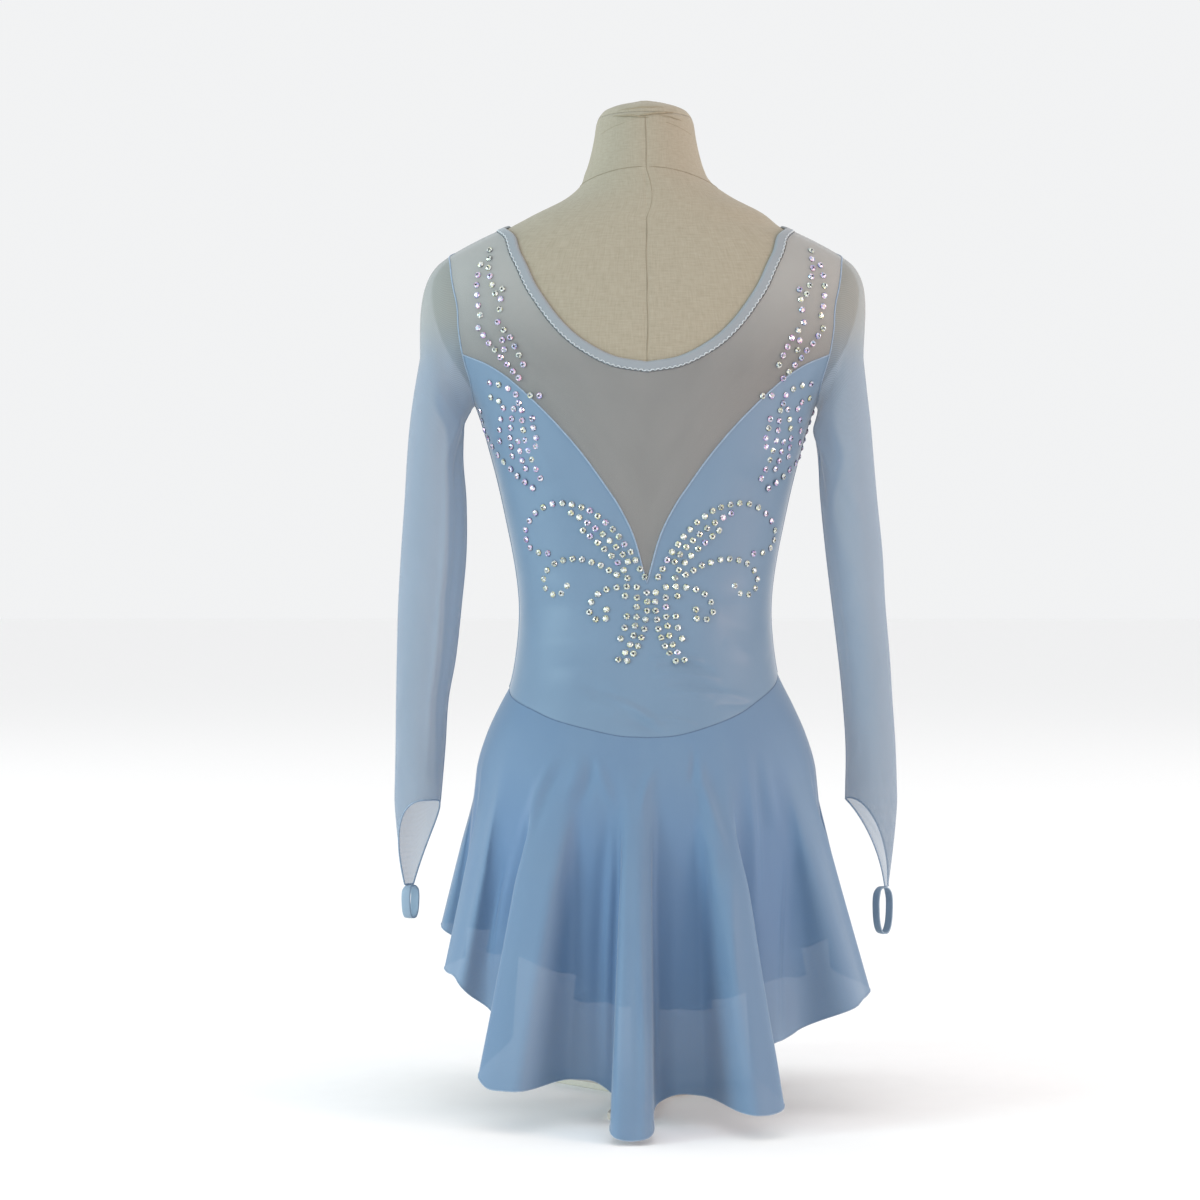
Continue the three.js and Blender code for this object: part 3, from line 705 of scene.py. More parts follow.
def grid_faces(rows, columns, closed):
    stations = np.arange(rows * columns).reshape(rows, columns)
    if closed:
        stations = np.concatenate([stations, stations[:, :1]], 1)
    a, b = stations[:-1, :-1], stations[:-1, 1:]
    c, d = stations[1:, 1:], stations[1:, :-1]
    return np.stack([a, b, c, d], -1).reshape(-1, 4)


def end_faces(rows, columns, flip=False):
    """The two faces that close the first and last ring of a closed grid."""
    first = tuple(range(columns))
    last = tuple(range((rows - 1) * columns, rows * columns))
    return [first, last[::-1]] if flip else [first[::-1], last]


def grid_object(name, points, material, closed=False, flip=False, ends=False):
    """A sheet through a grid of points, with a texture map in metres. ends closes a tube's two ends."""
    rows, columns = points.shape[:2]
    faces = grid_faces(rows, columns, closed)
    if flip:
        faces = faces[:, ::-1]
    if ends:
        faces = [*faces, *end_faces(rows, columns, flip)]
    u, v = distance_along(points[rows // 2]), distance_along(points[:, columns // 2])
    uv = np.stack(np.meshgrid(u, v), -1) * MM
    obj = make_object(name, points, faces, material, uv)
    if ends:
        for face in obj.data.polygons[-2:]:
            face.use_smooth = False
    return obj


def thicken(obj, thickness, offset=-1.0):
    modifier = obj.modifiers.new("thickness", "SOLIDIFY")
    modifier.thickness = thickness * MM
    modifier.offset = offset


def toned(obj, shares, name="second_tone"):
    """How far each point's colour goes towards its cloth's second or third colour."""
    layer = obj.data.attributes.new(name, "FLOAT", "POINT")
    layer.data.foreach_set("value", shares.ravel())


def dressed(obj, node):
    """The piece rides on the part and stands for a node where one is named."""
    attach(obj, "root")
    if node:
        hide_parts(node)


def tube(path, radius, closed=False, sides=8, flat=1.0, normals=None):
    """Points and faces of a cord along a path. flat squeezes it along the given normals."""
    path = np.asarray(path, float)
    ahead = np.roll(path, -1, 0) if closed else np.concatenate([path[1:], path[-1:]])
    behind = np.roll(path, 1, 0) if closed else np.concatenate([path[:1], path[:-1]])
    tangent = unit(ahead - behind)
    if normals is None:
        normals = np.broadcast_to([0.13, 0.31, 0.94], path.shape)
    out = unit(normals - (normals * tangent).sum(-1, keepdims=True) * tangent)
    aside = np.cross(tangent, out)
    turn = full_turn(sides)
    size = np.broadcast_to(radius, len(path))[:, None, None]
    ring = flat * np.cos(turn)[None, :, None] * out[:, None] + np.sin(turn)[None, :, None] * aside[:, None]
    points = path[:, None] + size * ring
    faces = grid_faces(len(path), sides, True)
    if closed:
        last = (len(path) - 1) * sides + np.arange(sides)
        first = np.arange(sides)
        extra = np.stack([last, np.roll(last, -1), np.roll(first, -1), first], -1)
        faces = np.concatenate([faces, extra])
    else:
        faces = [*faces, *end_faces(len(path), sides)]
    return points.reshape(-1, 3), list(faces)


def merged(parts):
    """Several (points, faces) joined into one."""
    points, faces, count = [], [], 0
    for some_points, some_faces in parts:
        points.append(some_points)
        faces += [tuple(i + count for i in face) for face in some_faces]
        count += len(some_points)
    return np.concatenate(points), faces


def copies(template, faces, places, outward, forward, sizes):
    """Copies of a small shape at many places. Its own Z follows outward and its own X follows forward."""
    outward = unit(outward)
    forward = unit(forward - (forward * outward).sum(-1, keepdims=True) * outward)
    aside = np.cross(outward, forward)
    axes = np.stack([forward, aside, outward], 1)
    scaled = template[None] * np.broadcast_to(sizes, (len(places), 3))[:, None]
    points = places[:, None] + np.einsum("nvk,nkc->nvc", scaled, axes)
    count = len(template)
    every = [tuple(i + k * count for i in face) for k in range(len(places)) for face in faces]
    return points.reshape(-1, 3), every


def added(name, parts, material):
    """A piece that stands for no node, merged from its parts."""
    dressed(make_object(name, *merged(parts), material), None)


# ---- materials


class Nodes:
    """A short way to build a material's node tree."""

    def __init__(self, name, **sockets):
        self.material = bpy.data.materials.new(name)
        self.material.use_nodes = True
        self.tree = self.material.node_tree
        self.shader = self.tree.nodes["Principled BSDF"]
        for socket, value in sockets.items():
            self.shader.inputs[socket.replace("_", " ")].default_value = value

    def add(self, kind, inputs=None, **settings):
        node = self.tree.nodes.new("ShaderNode" + kind)
        for key, value in settings.items():
            setattr(node, key, value)
        for key, value in (inputs or {}).items():
            if isinstance(value, bpy.types.NodeSocket):
                self.tree.links.new(value, node.inputs[key])
            else:
                node.inputs[key].default_value = value
        return node

    def coordinates(self, kind):
        return self.add("TexCoord").outputs[kind]

    def noise(self, vector, scale, detail=2.0):
        return self.add("TexNoise", {"Vector": vector, "Scale": scale, "Detail": detail}).outputs["Fac"]

    def math(self, operation, a, b=0.0, c=0.0, clamp=False):
        return self.add("Math", {0: a, 1: b, 2: c}, operation=operation, use_clamp=clamp).outputs[0]

    def mixed(self, base, colour, layer):
        share = self.add("Attribute", attribute_name=layer).outputs["Fac"]
        inputs = {"Factor": share, 6: base, 7: (*colour, 1)}
        return self.add("Mix", inputs, data_type="RGBA").outputs[2]

    def link(self, output, socket):
        self.tree.links.new(output, self.shader.inputs[socket])

    def ramp(self, value, stops):
        node = self.add("ValToRGB", {0: value})
        elements = node.color_ramp.elements
        while len(elements) < len(stops):
            elements.new(0.5)
        for element, (place, colour) in zip(elements, stops):
            element.position = place
            element.color = (*colour, 1)
        return node.outputs["Color"]

    def rough(self, value, spread, least):
        self.link(self.math("MULTIPLY_ADD", value, spread, least), "Roughness")

    def bump(self, height, distance, strength):
        inputs = {"Height": height, "Strength": strength, "Distance": distance}
        self.link(self.add("Bump", inputs).outputs["Normal"], "Normal")


def srgb(colour):
    """A colour given as 0 to 255 screen values, in linear light."""
    return tuple((c / 255 / 12.92) if c < 10 else ((c / 255 + 0.055) / 1.055) ** 2.4 for c in colour)


def threads(nodes, coordinates, pitch, turn=0.0):
    """Two crossing sets of fine threads, as one height."""
    turned = nodes.add("Mapping", {"Vector": coordinates, "Rotation": (0, 0, turn)}).outputs[0]
    scale = math.pi / 10 / (pitch * MM)
    inputs = {"Vector": turned, "Scale": scale, "Distortion": 0.4, "Detail": 1.0}
    waves = [nodes.add("TexWave", inputs, bands_direction=axis).outputs["Fac"] for axis in "XY"]
    return nodes.math("MULTIPLY", *waves), nodes.math("MAXIMUM", *waves)


def cloth_material(
    name, colour, shade, pitch, roughness, sheen, relief, alpha=1.0, turn=0.0, second=None, third=None
):
    """Fine knitted cloth: threads, uneven colour, and a soft sheen.

    alpha under 1 makes it sheer. second and third are colours that the piece's own layers mix in: painted
    shade in the skirt's fold valleys and on a sleeve's inner side, painted light on the mesh over the
    shoulders, and the linen that shows through a sleeve's head.
    """
    nodes = Nodes(name, Sheen_Weight=sheen, Sheen_Roughness=0.4, Specular_IOR_Level=0.3)
    coordinates = nodes.coordinates("UV")
    crossing, over = threads(nodes, coordinates, pitch, turn)
    cloudy = nodes.noise(coordinates, 14.0, 4.0)
    tone = nodes.math("MULTIPLY_ADD", cloudy, 0.5, 0.1)
    tone = nodes.math("ADD", tone, nodes.math("MULTIPLY", over, 0.3), clamp=True)
    base = nodes.ramp(tone, [(0.2, srgb(shade)), (0.75, srgb(colour))])
    for layer, other in (("second_tone", second), ("third_tone", third)):
        if other:
            base = nodes.mixed(base, srgb(other), layer)
    nodes.link(base, "Base Color")
    nodes.rough(cloudy, 0.2, roughness - 0.1)
    nodes.bump(over, relief * MM, 0.5)
    if alpha < 1:
        nodes.link(nodes.math("MULTIPLY_ADD", crossing, 0.16, alpha - 0.04), "Alpha")
    return nodes.material


def linen_material():
    """Plain-woven natural linen with slubs."""
    nodes = Nodes("form_linen", Sheen_Weight=0.15, Specular_IOR_Level=0.2)
    coordinates = nodes.coordinates("UV")
    over = threads(nodes, coordinates, 0.9)[1]
    slubs = []
    for stretch in ((1.0, 0.12, 1.0), (0.12, 1.0, 1.0)):
        stretched = nodes.add("Mapping", {"Vector": coordinates, "Scale": stretch}).outputs[0]
        slubs.append(nodes.noise(stretched, 700.0, 3.0))
    streaks = nodes.math("MULTIPLY", nodes.math("ADD", *slubs), 0.5)
    flecks = nodes.math("ADD", nodes.math("MULTIPLY", streaks, 0.75), nodes.math("MULTIPLY", over, 0.2))
    stops = ((0.3, (141, 135, 118)), (0.52, (155, 149, 133)), (0.74, (166, 160, 144)))
    nodes.link(nodes.ramp(flecks, [(place, srgb(colour)) for place, colour in stops]), "Base Color")
    nodes.rough(streaks, 0.2, 0.78)
    nodes.bump(nodes.math("ADD", over, streaks), 0.18 * MM, 0.5)
    return nodes.material


def plain_material(name, colour, roughness, grain=0.08, scale=300.0, relief=0.05, **sockets):
    """A thread, cord or painted surface: one colour with a fine grain."""
    nodes = Nodes(name, **sockets)
    fine = nodes.noise(nodes.coordinates("Object"), scale, 3.0)
    dark = tuple(c * (1 - 2 * grain) for c in colour)
    nodes.link(nodes.ramp(fine, [(0.35, dark), (0.65, colour)]), "Base Color")
    nodes.rough(fine, 0.15, roughness)
    nodes.bump(fine, relief * MM, 0.4)
    return nodes.material


def stone_material():
    """Coated glass: each facet carries its own painted reflection as its colour."""
    nodes = Nodes("rhinestone", Metallic=0.55, Coat_Weight=1.0, Coat_Roughness=0.03)
    nodes.link(nodes.add("Attribute", attribute_name="facet_tint").outputs["Color"], "Base Color")
    nodes.rough(nodes.noise(nodes.coordinates("Object"), 900.0), 0.16, 0.0)
    return nodes.material


BIAS = 0.785  # sheer cloth is turned across its threads
# Name, colour, shade, thread pitch, roughness, sheen, relief, how opaque it is, its turn, other colours.
LYCRA = cloth_material("lycra", (110, 135, 159), (98, 123, 148), 0.7, 0.42, 0.5, 0.04)
# The mesh's second colour is painted light: lighter over the shoulders.
MESH = cloth_material(
    "mesh", (142, 145, 148), (122, 126, 130), 0.7, 0.7, 0.3, 0.04, 0.64, BIAS, (176, 180, 181)
)
# The sleeve mesh's third colour is painted shade, darker and bluer on a sleeve's inner side, partly the
# doubled cloth there.
SLEEVE_MESH = cloth_material(
    "sleeve_mesh", (132, 153, 174), (114, 137, 160), 0.7, 0.65, 0.2, 0.04, 0.62, BIAS,
    second=(160, 162, 153), third=(95, 128, 160),
)
# The skirt's second colour is painted shade, darker and bluer down in the fold valleys.
SKIRT_CLOTH = cloth_material(
    "skirt_cloth", (106, 133, 160), (92, 121, 154), 0.9, 0.6, 0.25, 0.06, 0.965, BIAS, (86, 121, 164)
)
LOOP_CLOTH = cloth_material("loop_cloth", (146, 166, 184), (126, 149, 171), 0.9, 0.6, 0.3, 0.1)
BINDING = cloth_material("binding", (143, 151, 158), (128, 138, 146), 0.9, 0.6, 0.3, 0.15)
THREAD = plain_material("thread", srgb((136, 158, 182)), 0.5, Sheen_Weight=0.3)
STITCH_THREAD = plain_material("stitch_thread", srgb((196, 206, 212)), 0.5, Sheen_Weight=0.3)
SEAM_SHADE = plain_material("seam_shade", srgb((84, 108, 136)), 0.7)
STITCH_SHADE = plain_material("stitch_shade", srgb((96, 104, 112)), 0.8)
LINEN = linen_material()
LINEN_FOLDS = plain_material("linen_folds", srgb((150, 142, 122)), 0.9, scale=500.0, relief=0.15)
LINEN_SEAM = plain_material("linen_seam", srgb((138, 129, 109)), 0.9)
STAND_PAINT = plain_material(
    "stand_paint", srgb((196, 192, 180)), 0.4, grain=0.03, relief=0.03, Coat_Weight=0.2
)
STONES = stone_material()

# ---- the dress form


GROOVE_DEPTH = 0.25  # the form's linen sinks in at its seams


def build_form():
    turns = full_turn(256)[None, :]
    stretches = [
        np.linspace(FORM["z"][0], 250, 16)[:-1],
        np.linspace(250, 780, 120)[:-1],
        np.linspace(780, 943, 70),
    ]
    levels = np.concatenate(stretches)[:, None]
    points = form_point(turns, levels)
    points -= GROOVE_DEPTH * seam_groove(points)[..., None] * form_normal(turns, levels)
    body = grid_object("torso_linen", points, LINEN, closed=True, flip=True, ends=True)
    dressed(body, "form_body")


def seam_groove(points):
    """1 on the form's own seam lines, 0 away from them."""
    centre = np.exp(-((points[..., 0] / 1.2) ** 2))
    neck = np.exp(-(((points[..., 2] - neck_seam_level(points[..., 0])) / 1.5) ** 2))
    return np.maximum(centre, neck)


def neck_seam_level(x):
    return 889.0 - 0.0028 * x**2


def cap_seam_level(x):
    return 935.0 - 0.0055 * x**2


def seam_round(level, radius, arcs):
    """Thread lines round the neck, at a level given for each x, over arcs in degrees."""
    lines = []
    for first, last in arcs:
        turns = np.radians(np.linspace(first, last, 160))
        z = level(0.0)
        for _ in range(6):
            z = level(form_point(turns, z)[:, 0])
        size = radius * np.clip(8 * np.sin(np.linspace(0, math.pi, 160)), 0.1, 1)
        lines.append(tube(off_form(turns, z, -0.06), size, sides=6))
    return lines


def build_form_seams():
    """Sewn lines down the back and front, round the neck's base and under the cap."""
    levels = np.linspace(240, 940, 400)
    wander = 0.3 * np.sin(levels / 7.0) + 0.45 * np.sin(levels / 21.0 + 1)
    sunk = 0.14 * np.sin(levels / 5.3) * np.sin(levels / 17.0) - 0.12
    lines = seam_round(neck_seam_level, 0.24, NECK_SEAM_ARCS)
    lines += seam_round(cap_seam_level, 0.2, CAP_SEAM_ARCS)
    for angle in (0, math.pi):
        path = off_form(angle, levels, sunk)
        path[:, 0] += wander
        lines.append(tube(path, 0.26, sides=6))
    added("torso_seams", lines, LINEN_SEAM)


NECK_SEAM_ARCS = ((3, 96), (96, 180), (180, 266), (264, 357))
CAP_SEAM_ARCS = ((24, 62), (118, 150), (212, 244), (296, 338))
CAP_WRINKLES = creases("""
36 14 4 20 2 -1.5
24 19 -26 16 1.6 1.2
-2 22 -34 13 1.8 -1.6
14 26 -14 27 1.8 -1.1
30 -6 -12 -16 2.4 -1.2
-30 -10 6 -24 2.4 1
""")
# Bunched linen at the cap's edge, on the back: from (x1, z1) to (x2, z2), and how thick each fold is.
CAP_FOLDS = [
    ((31, 940.5), (-4, 936.5), 1.7),
    ((8, 938.5), (-27, 943.5), 1.9),
    ((26, 945.5), (-20, 948.0), 1.5),
    ((-12, 939.5), (-36, 936.0), 0.9),
]


def build_cap_folds():
    """Soft rolls of gathered linen, thick in the middle and gone at their ends."""
    rolls = []
    for (x1, z1), (x2, z2), thick in CAP_FOLDS:
        t = np.linspace(0, 1, 28)
        x = x1 + (x2 - x1) * t + 0.5 * np.sin(9 * t)
        z = z1 + (z2 - z1) * t + 0.7 * np.sin(math.pi * t) + 0.25 * np.sin(17 * t)
        level = np.minimum(z, 942.5)
        radius = form_radius(np.arcsin(x / 47), level)
        y = FORM["middle"][-1] + np.sqrt(np.maximum(radius**2 - x**2, 0))
        y -= 0.8 * np.maximum(z - FORM["z"][-1], 0)
        size = np.maximum(thick * np.sin(math.pi * t) ** 0.7, 0.05)
        rolls.append(tube(np.stack([x, y, z], -1), size, sides=10, flat=0.6))
    added("neck_cap_folds", rolls, LINEN_FOLDS)


CAP_FLUSH = 0.5  # the cap's linen lies flush with the neck's at their edge


def build_neck_cap():
    """The domed cap: linen pulled over the neck's top, bunched in a few folds."""
    turns = full_turn(180)
    share = np.linspace(0, 1, 40)
    path = np.cumsum(np.hypot(np.diff(NECK_CAP["z"]), np.diff(NECK_CAP["radius"])))
    rows = {"s": np.concatenate([[0], path / path[-1]]), **NECK_CAP}
    z = along(rows, share, "z")
    flush = CAP_FLUSH * (1 - smoothstep(0, 0.3, share))
    radius = np.maximum(along(rows, share, "radius") + flush, 0.4)
    x = radius[:, None] * np.sin(turns)[None, :]
    y = radius[:, None] * np.cos(turns)[None, :]
    lift = crease(x, y, CAP_WRINKLES) * smoothstep(0, 0.2, share)[:, None]
    points = np.stack([x, y + FORM["middle"][-1], z[:, None] + 0.1 + lift], -1)
    cap = grid_object("neck_cap_linen", points, LINEN, closed=True, flip=True, ends=True)
    dressed(cap, "form_neck_cap")


def softened(obj, width, segments=1):
    bevel = obj.modifiers.new("soft edges", "BEVEL")
    bevel.width = width * MM
    bevel.segments = segments
    return obj


FOOT_TURN = 78.0
FOOT_REACH = 125.0
FOOT_WIDTH = 26.0
FOOT_THICKNESS = 6.0
HUB_RADIUS = 25.0
POLE_RADIUS = 14.0
POLE_SIDES = 64
COLLAR_RADIUS = 20.0
COLLAR_HEIGHT = 16.0
STAND_GAP = 0.3  # from the pole to the base below it and the form above it


def build_stand():
    build_pole()
    build_base()


def build_pole():
    low = FLOOR + FOOT_THICKNESS + STAND_GAP
    top = low + COLLAR_HEIGHT
    pole_top = FORM["z"][0] - STAND_GAP
    profile = [
        (0.1, low),
        (COLLAR_RADIUS - 1, low),
        (COLLAR_RADIUS, low + 1),
        (COLLAR_RADIUS, top - 2),
        (COLLAR_RADIUS - 1.5, top),
        (POLE_RADIUS + 1, top + 4),
        (POLE_RADIUS, top + 6),
        (POLE_RADIUS, pole_top),
        (0.1, pole_top),
    ]
    turns = full_turn(POLE_SIDES)
    radius, level = np.array(profile, float).T[..., None]
    x, y = radius * np.cos(turns), radius * np.sin(turns)
    points = np.stack([x, y, level + 0 * x], -1)
    pole = grid_object("stand_pole", points, STAND_PAINT, closed=True)
    dressed(softened(pole, 0.4), "form_pole")


def arc(x, y, radius, first, last, count):
    turns = np.linspace(first, last, count)
    return [(x + radius * math.cos(turn), y + radius * math.sin(turn)) for turn in turns]


def build_base():
    """A flat plate with three rounded feet."""
    half = FOOT_WIDTH / 2
    reach = FOOT_REACH - half
    root = math.asin(half / HUB_RADIUS)
    outline = []
    for k in range(3):
        away = math.radians(FOOT_TURN + 120 * k)
        x, y = reach * math.cos(away), reach * math.sin(away)
        outline += arc(x, y, half, away - math.pi / 2, away + math.pi / 2, 17)
        outline += arc(0, 0, HUB_RADIUS, away + root, away + math.radians(120) - root, 9)
    count = len(outline)
    points = [(x, y, level) for level in (FLOOR, FLOOR + FOOT_THICKNESS) for x, y in outline]
    faces = [tuple(range(count))[::-1], tuple(range(count, 2 * count))]
    faces += [(i, (i + 1) % count, (i + 1) % count + count, i + count) for i in range(count)]
    base = make_object("stand_base", points, faces, STAND_PAINT, smooth=False)
    dressed(softened(base, 1.0, 2), "form_base")


# ---- bodice panels


def panel_grid(lower, upper, rows, marks):
    """A panel's points: rows from the lower seam line to the upper one."""
    reach = np.linalg.norm(form_point(*upper.T) - form_point(*lower.T), axis=1)
    inset = np.minimum(0.3, SEAM / np.maximum(reach, 0.5))
    v = inset[None] + (1 - 2 * inset[None]) * np.linspace(0, 1, rows)[:, None]
    angle = lower[None, :, 0] + (upper - lower)[None, :, 0] * v
    z = lower[None, :, 1] + (upper - lower)[None, :, 1] * v
    edge = np.minimum(v, 1 - v) * reach[None]
    lift = crease(form_point(angle, z)[..., 0], z, marks) * smoothstep(0, 6, edge)
    return off_form(angle, z, np.maximum(SKIN + lift, LEAST_OUT))


def build_body(node, edge, front, rows, marks):
    points = panel_grid(waist_below(edge, front), edge, rows, marks)
    knit = grid_object(node + "_knit", points, LYCRA, flip=not front)
    thicken(knit, KNIT_THICK, 1.0 if front else -1.0)
    dressed(knit, node)


def build_mesh(node, edge, neck, front, rows):
    points = panel_grid(edge, neck_edge(neck, edge, BINDING_WIDTH, front), rows, MESH_CREASES)
    net = grid_object(node + "_net", points, MESH, flip=not front)
    # Painted light: the mesh goes lighter towards the shoulders.
    toned(net, YOKE_LIGHT * smoothstep(*YOKE_LIGHT_LEVELS, points[..., 2]))
    dressed(net, node)


# ---- seams, binding and stitches


def seam_cord(line, out, radius, closed=False):
    return tube(off_form(*line.T, out), radius, closed=closed, flat=0.7, normals=form_normal(*line.T))


def build_seams():
    left_arm = armhole(np.linspace(0, 360, 181)[:-1])
    right_arm = left_arm * [-1, 1]
    edges = [seam_cord(both_sides(back_vee, False), SKIN + 0.2, SEAM_CORD)]
    edges.append(seam_cord(both_sides(front_yoke, True), SKIN + 0.2, SEAM_CORD))
    for arm in (left_arm, right_arm):
        edges.append(seam_cord(arm, SKIN + 0.3, ARM_CORD, closed=True))
    for side in (math.pi / 2, -math.pi / 2):
        below_arm = np.linspace(waist_at(side) + 1, ARM_LOW, 80)
        above_arm = np.linspace(ARM_HIGH, NECK_SHOULDER - 4.4, 20)
        for levels in (below_arm, above_arm):
            line = np.stack([0 * levels + side, levels], -1)
            edges.append(seam_cord(line, SKIN + 0.1, SIDE_CORD))
    added("bodice_seams", edges, THREAD)
    turns = full_turn(400)
    waist = np.stack([turns, waist_at(turns)], -1)
    cord = seam_cord(waist, SKIN - 0.3, WAIST_CORD, closed=True)
    added("waist_seam", [cord], SEAM_SHADE)


def neck_loop(down, steps=150):
    """The neckline `down` below its inner edge, all the way round: back from right to left, then front."""
    back = both_sides(neck_from_centre(BACK_NECK, steps, down, False), False)
    front = both_sides(neck_from_centre(FRONT_NECK, steps, down, True), True)
    return np.concatenate([back[:-1], front[::-1][:-1]])


def build_binding():
    """A folded strip with a rounded section, its stitches along the lower edge, and a painted shadow of dark
    dashes below them.
    """
    rings = []
    for share in np.linspace(0, 1, 13):
        rounded = 1 - abs(2 * share - 1) ** 6
        line = neck_loop(BINDING_WIDTH * (1 - share))
        rings.append(off_form(*line.T, SKIN - 1.8 + 2.6 * rounded))
    band = grid_object("neck_binding_band", np.array(rings), BINDING, closed=True, flip=True)
    thicken(band, BINDING_THICK)
    dressed(band, "neck_binding")

    stitches = stitch_row(BINDING_WIDTH - 1.4, SKIN + 0.75, STITCH_SLANT, STITCH_SIZE)
    added("binding_stitches", [stitches], STITCH_THREAD)
    # Painted shadow: dark dashes just below the stitches, along the binding's lower edge.
    shadow_dashes = stitch_row(BINDING_WIDTH + 0.1, SKIN + 0.02, 0.0, SHADOW_DASH_SIZE)
    added("binding_shadow_dashes", [shadow_dashes], STITCH_SHADE)


STITCH_PITCH = 2.6
STITCH_SLANT = 0.7
STITCH_SIZE = (1.7, 0.5, 0.45)  # half of its length, width and height
SHADOW_DASH_SIZE = (0.95, 0.4, 0.2)


def stitch_row(down, out, slant, size):
    """Stitches round the neckline, slanted to and fro."""
    line = neck_loop(down, 400)
    path = off_form(*line.T, out)
    outward = form_normal(*line.T)
    place = np.cumsum(np.linalg.norm(path - np.roll(path, 1, 0), axis=1))
    chosen = np.searchsorted(place, np.arange(0, place[-1], STITCH_PITCH))
    chosen = chosen[chosen < len(path)]
    forward = (np.roll(path, -1, 0) - np.roll(path, 1, 0))[chosen]
    lean = np.where(np.arange(len(chosen)) % 2 == 0, slant, -slant)[:, None]
    forward = unit(forward) + lean * unit(np.cross(outward[chosen], forward))
    return copies(STITCH, STITCH_FACES, path[chosen], outward[chosen], forward, size)


def rounded_stitch():
    """A short stitch: a capsule lying along X, unit sized."""
    rings = [(-1.0, 0.15), (-0.7, 0.8), (0.0, 1.0), (0.7, 0.8), (1.0, 0.15)]
    turns = full_turn(6)
    points = np.array([[x, r * math.cos(t), r * math.sin(t)] for x, r in rings for t in turns])
    return points, [*grid_faces(len(rings), 6, True), *end_faces(len(rings), 6)]


STITCH, STITCH_FACES = rounded_stitch()

# ---- sleeves


def tube_point(sleeve, turn, z):
    inner, outer, depth = (along(sleeve["tube"], z, column) for column in ("inner", "outer", "depth"))
    x = (inner + outer) / 2 + ((outer - inner) / 2 - CLOTH / 2) * np.cos(turn)
    return np.stack([x, (depth - CLOTH / 2) * np.sin(turn), z + 0 * turn], -1)


def tube_top(turn):
    return TUBE_TOP + TUBE_TILT * np.cos(turn)


def cap_point(sleeve, turn, t):
    seam = armhole(np.degrees(turn) % 360)
    ahead, aside = np.cos(turn), np.sin(turn)
    heading = unit(np.stack([0.7 + 0.16 * ahead, -0.15 * aside, -0.6 + 0.1 * ahead], -1))
    start = off_form(seam[..., 0], seam[..., 1], SKIN) + heading * 0.3
    end = tube_point(sleeve, turn, tube_top(turn))
    reach = np.linalg.norm(end - start, axis=-1) * 1.1
    down = np.stack([0 * reach, 0 * reach, -reach], -1)
    point = hermite(start, heading * reach[..., None], end, down, t[..., None])
    return clear_of_form(point, smoothstep(0, 0.15, t))


def clear_of_form(point, share):
    middle = along(FORM, point[..., 2], "middle")
    x, y = point[..., 0], point[..., 1] - middle
    radius = np.hypot(x, y)
    least = wall_radius(np.arctan2(x, y), point[..., 2])
    wanted = radius + (soft_max(radius, least, 3) - radius) * share
    return np.stack([x * wanted / radius, middle + y * wanted / radius, point[..., 2]], -1)


def cuff_point(sleeve, turn, t):
    wrist = sleeve["tube"]
    opposite = 0.5 - 0.5 * np.cos(turn - math.radians(sleeve["open_turn"]))
    away = np.minimum(1, POINT_SPAN * opposite**1.7)
    drop = (LEAST_DROP + (POINT_DROP - LEAST_DROP) * away) * t
    share = drop / POINT_DROP
    scale = 1 - (1 - sleeve["tip"]["scale"]) * share**1.25
    middle = (wrist["inner"][0] + wrist["outer"][0]) / 2
    ring = tube_point(sleeve, turn, wrist["z"][0])
    x = middle + (sleeve["tip"]["x"] - middle) * share + (ring[..., 0] - middle) * scale
    y = sleeve["tip"]["y"] * share + ring[..., 1] * scale
    return np.stack([x, y, wrist["z"][0] - drop], -1)


def sleeve_middle(sleeve, turn, place):
    top = tube_top(turn)
    level = top + (sleeve["tube"]["z"][0] - top) * np.clip(place - 1, 0, 1)
    cap = cap_point(sleeve, turn, np.clip(place, 0, 1))
    hanging = tube_point(sleeve, turn, level)
    cuff = cuff_point(sleeve, turn, np.clip(place - 2, 0, 1))
    place = place[..., None]
    return np.where(place <= 1, cap, np.where(place >= 2, cuff, hanging))


def sleeve_grid(sleeve):
    cap, hanging, cuff = np.linspace(0, 1, 36), np.linspace(1, 2, 90), np.linspace(2, 3, 44)
    place = np.concatenate([cap[:-1], hanging[:-1], cuff])[:, None]
    turn, place = np.broadcast_arrays(full_turn(120)[None, :], place)
    turned = sleeve_middle(sleeve, turn + STEP, place) - sleeve_middle(sleeve, turn - STEP, place)
    below = sleeve_middle(sleeve, turn, np.minimum(3, place + STEP))
    above = sleeve_middle(sleeve, turn, np.maximum(0, place - STEP))
    outward = -unit(np.cross(turned, below - above))
    points = sleeve_middle(sleeve, turn, place)
    lift = crease(np.degrees(turn), points[..., 2], SLEEVE_CREASES[sleeve["name"]])
    points = points + outward * (lift * smoothstep(0.3, 1.0, place))[..., None]
    points[..., 0] *= sleeve["side"]
    return points


def inner_side_shade(name, z):
    """1 where the sleeve's doubled inner side takes its painted shade, 0 elsewhere."""
    rows = INNER_SIDE_SHADES[name]
    turn = np.linspace(0, 360, z.shape[1], endpoint=False)[None, :]
    start, soft = along(rows, z, "start"), along(rows, z, "soft")
    share = np.clip(along(rows, z, "share"), 0, 1)
    return share * smoothstep(start - soft, start + soft, turn) * (1 - smoothstep(*INNER_SHADE_END, turn))


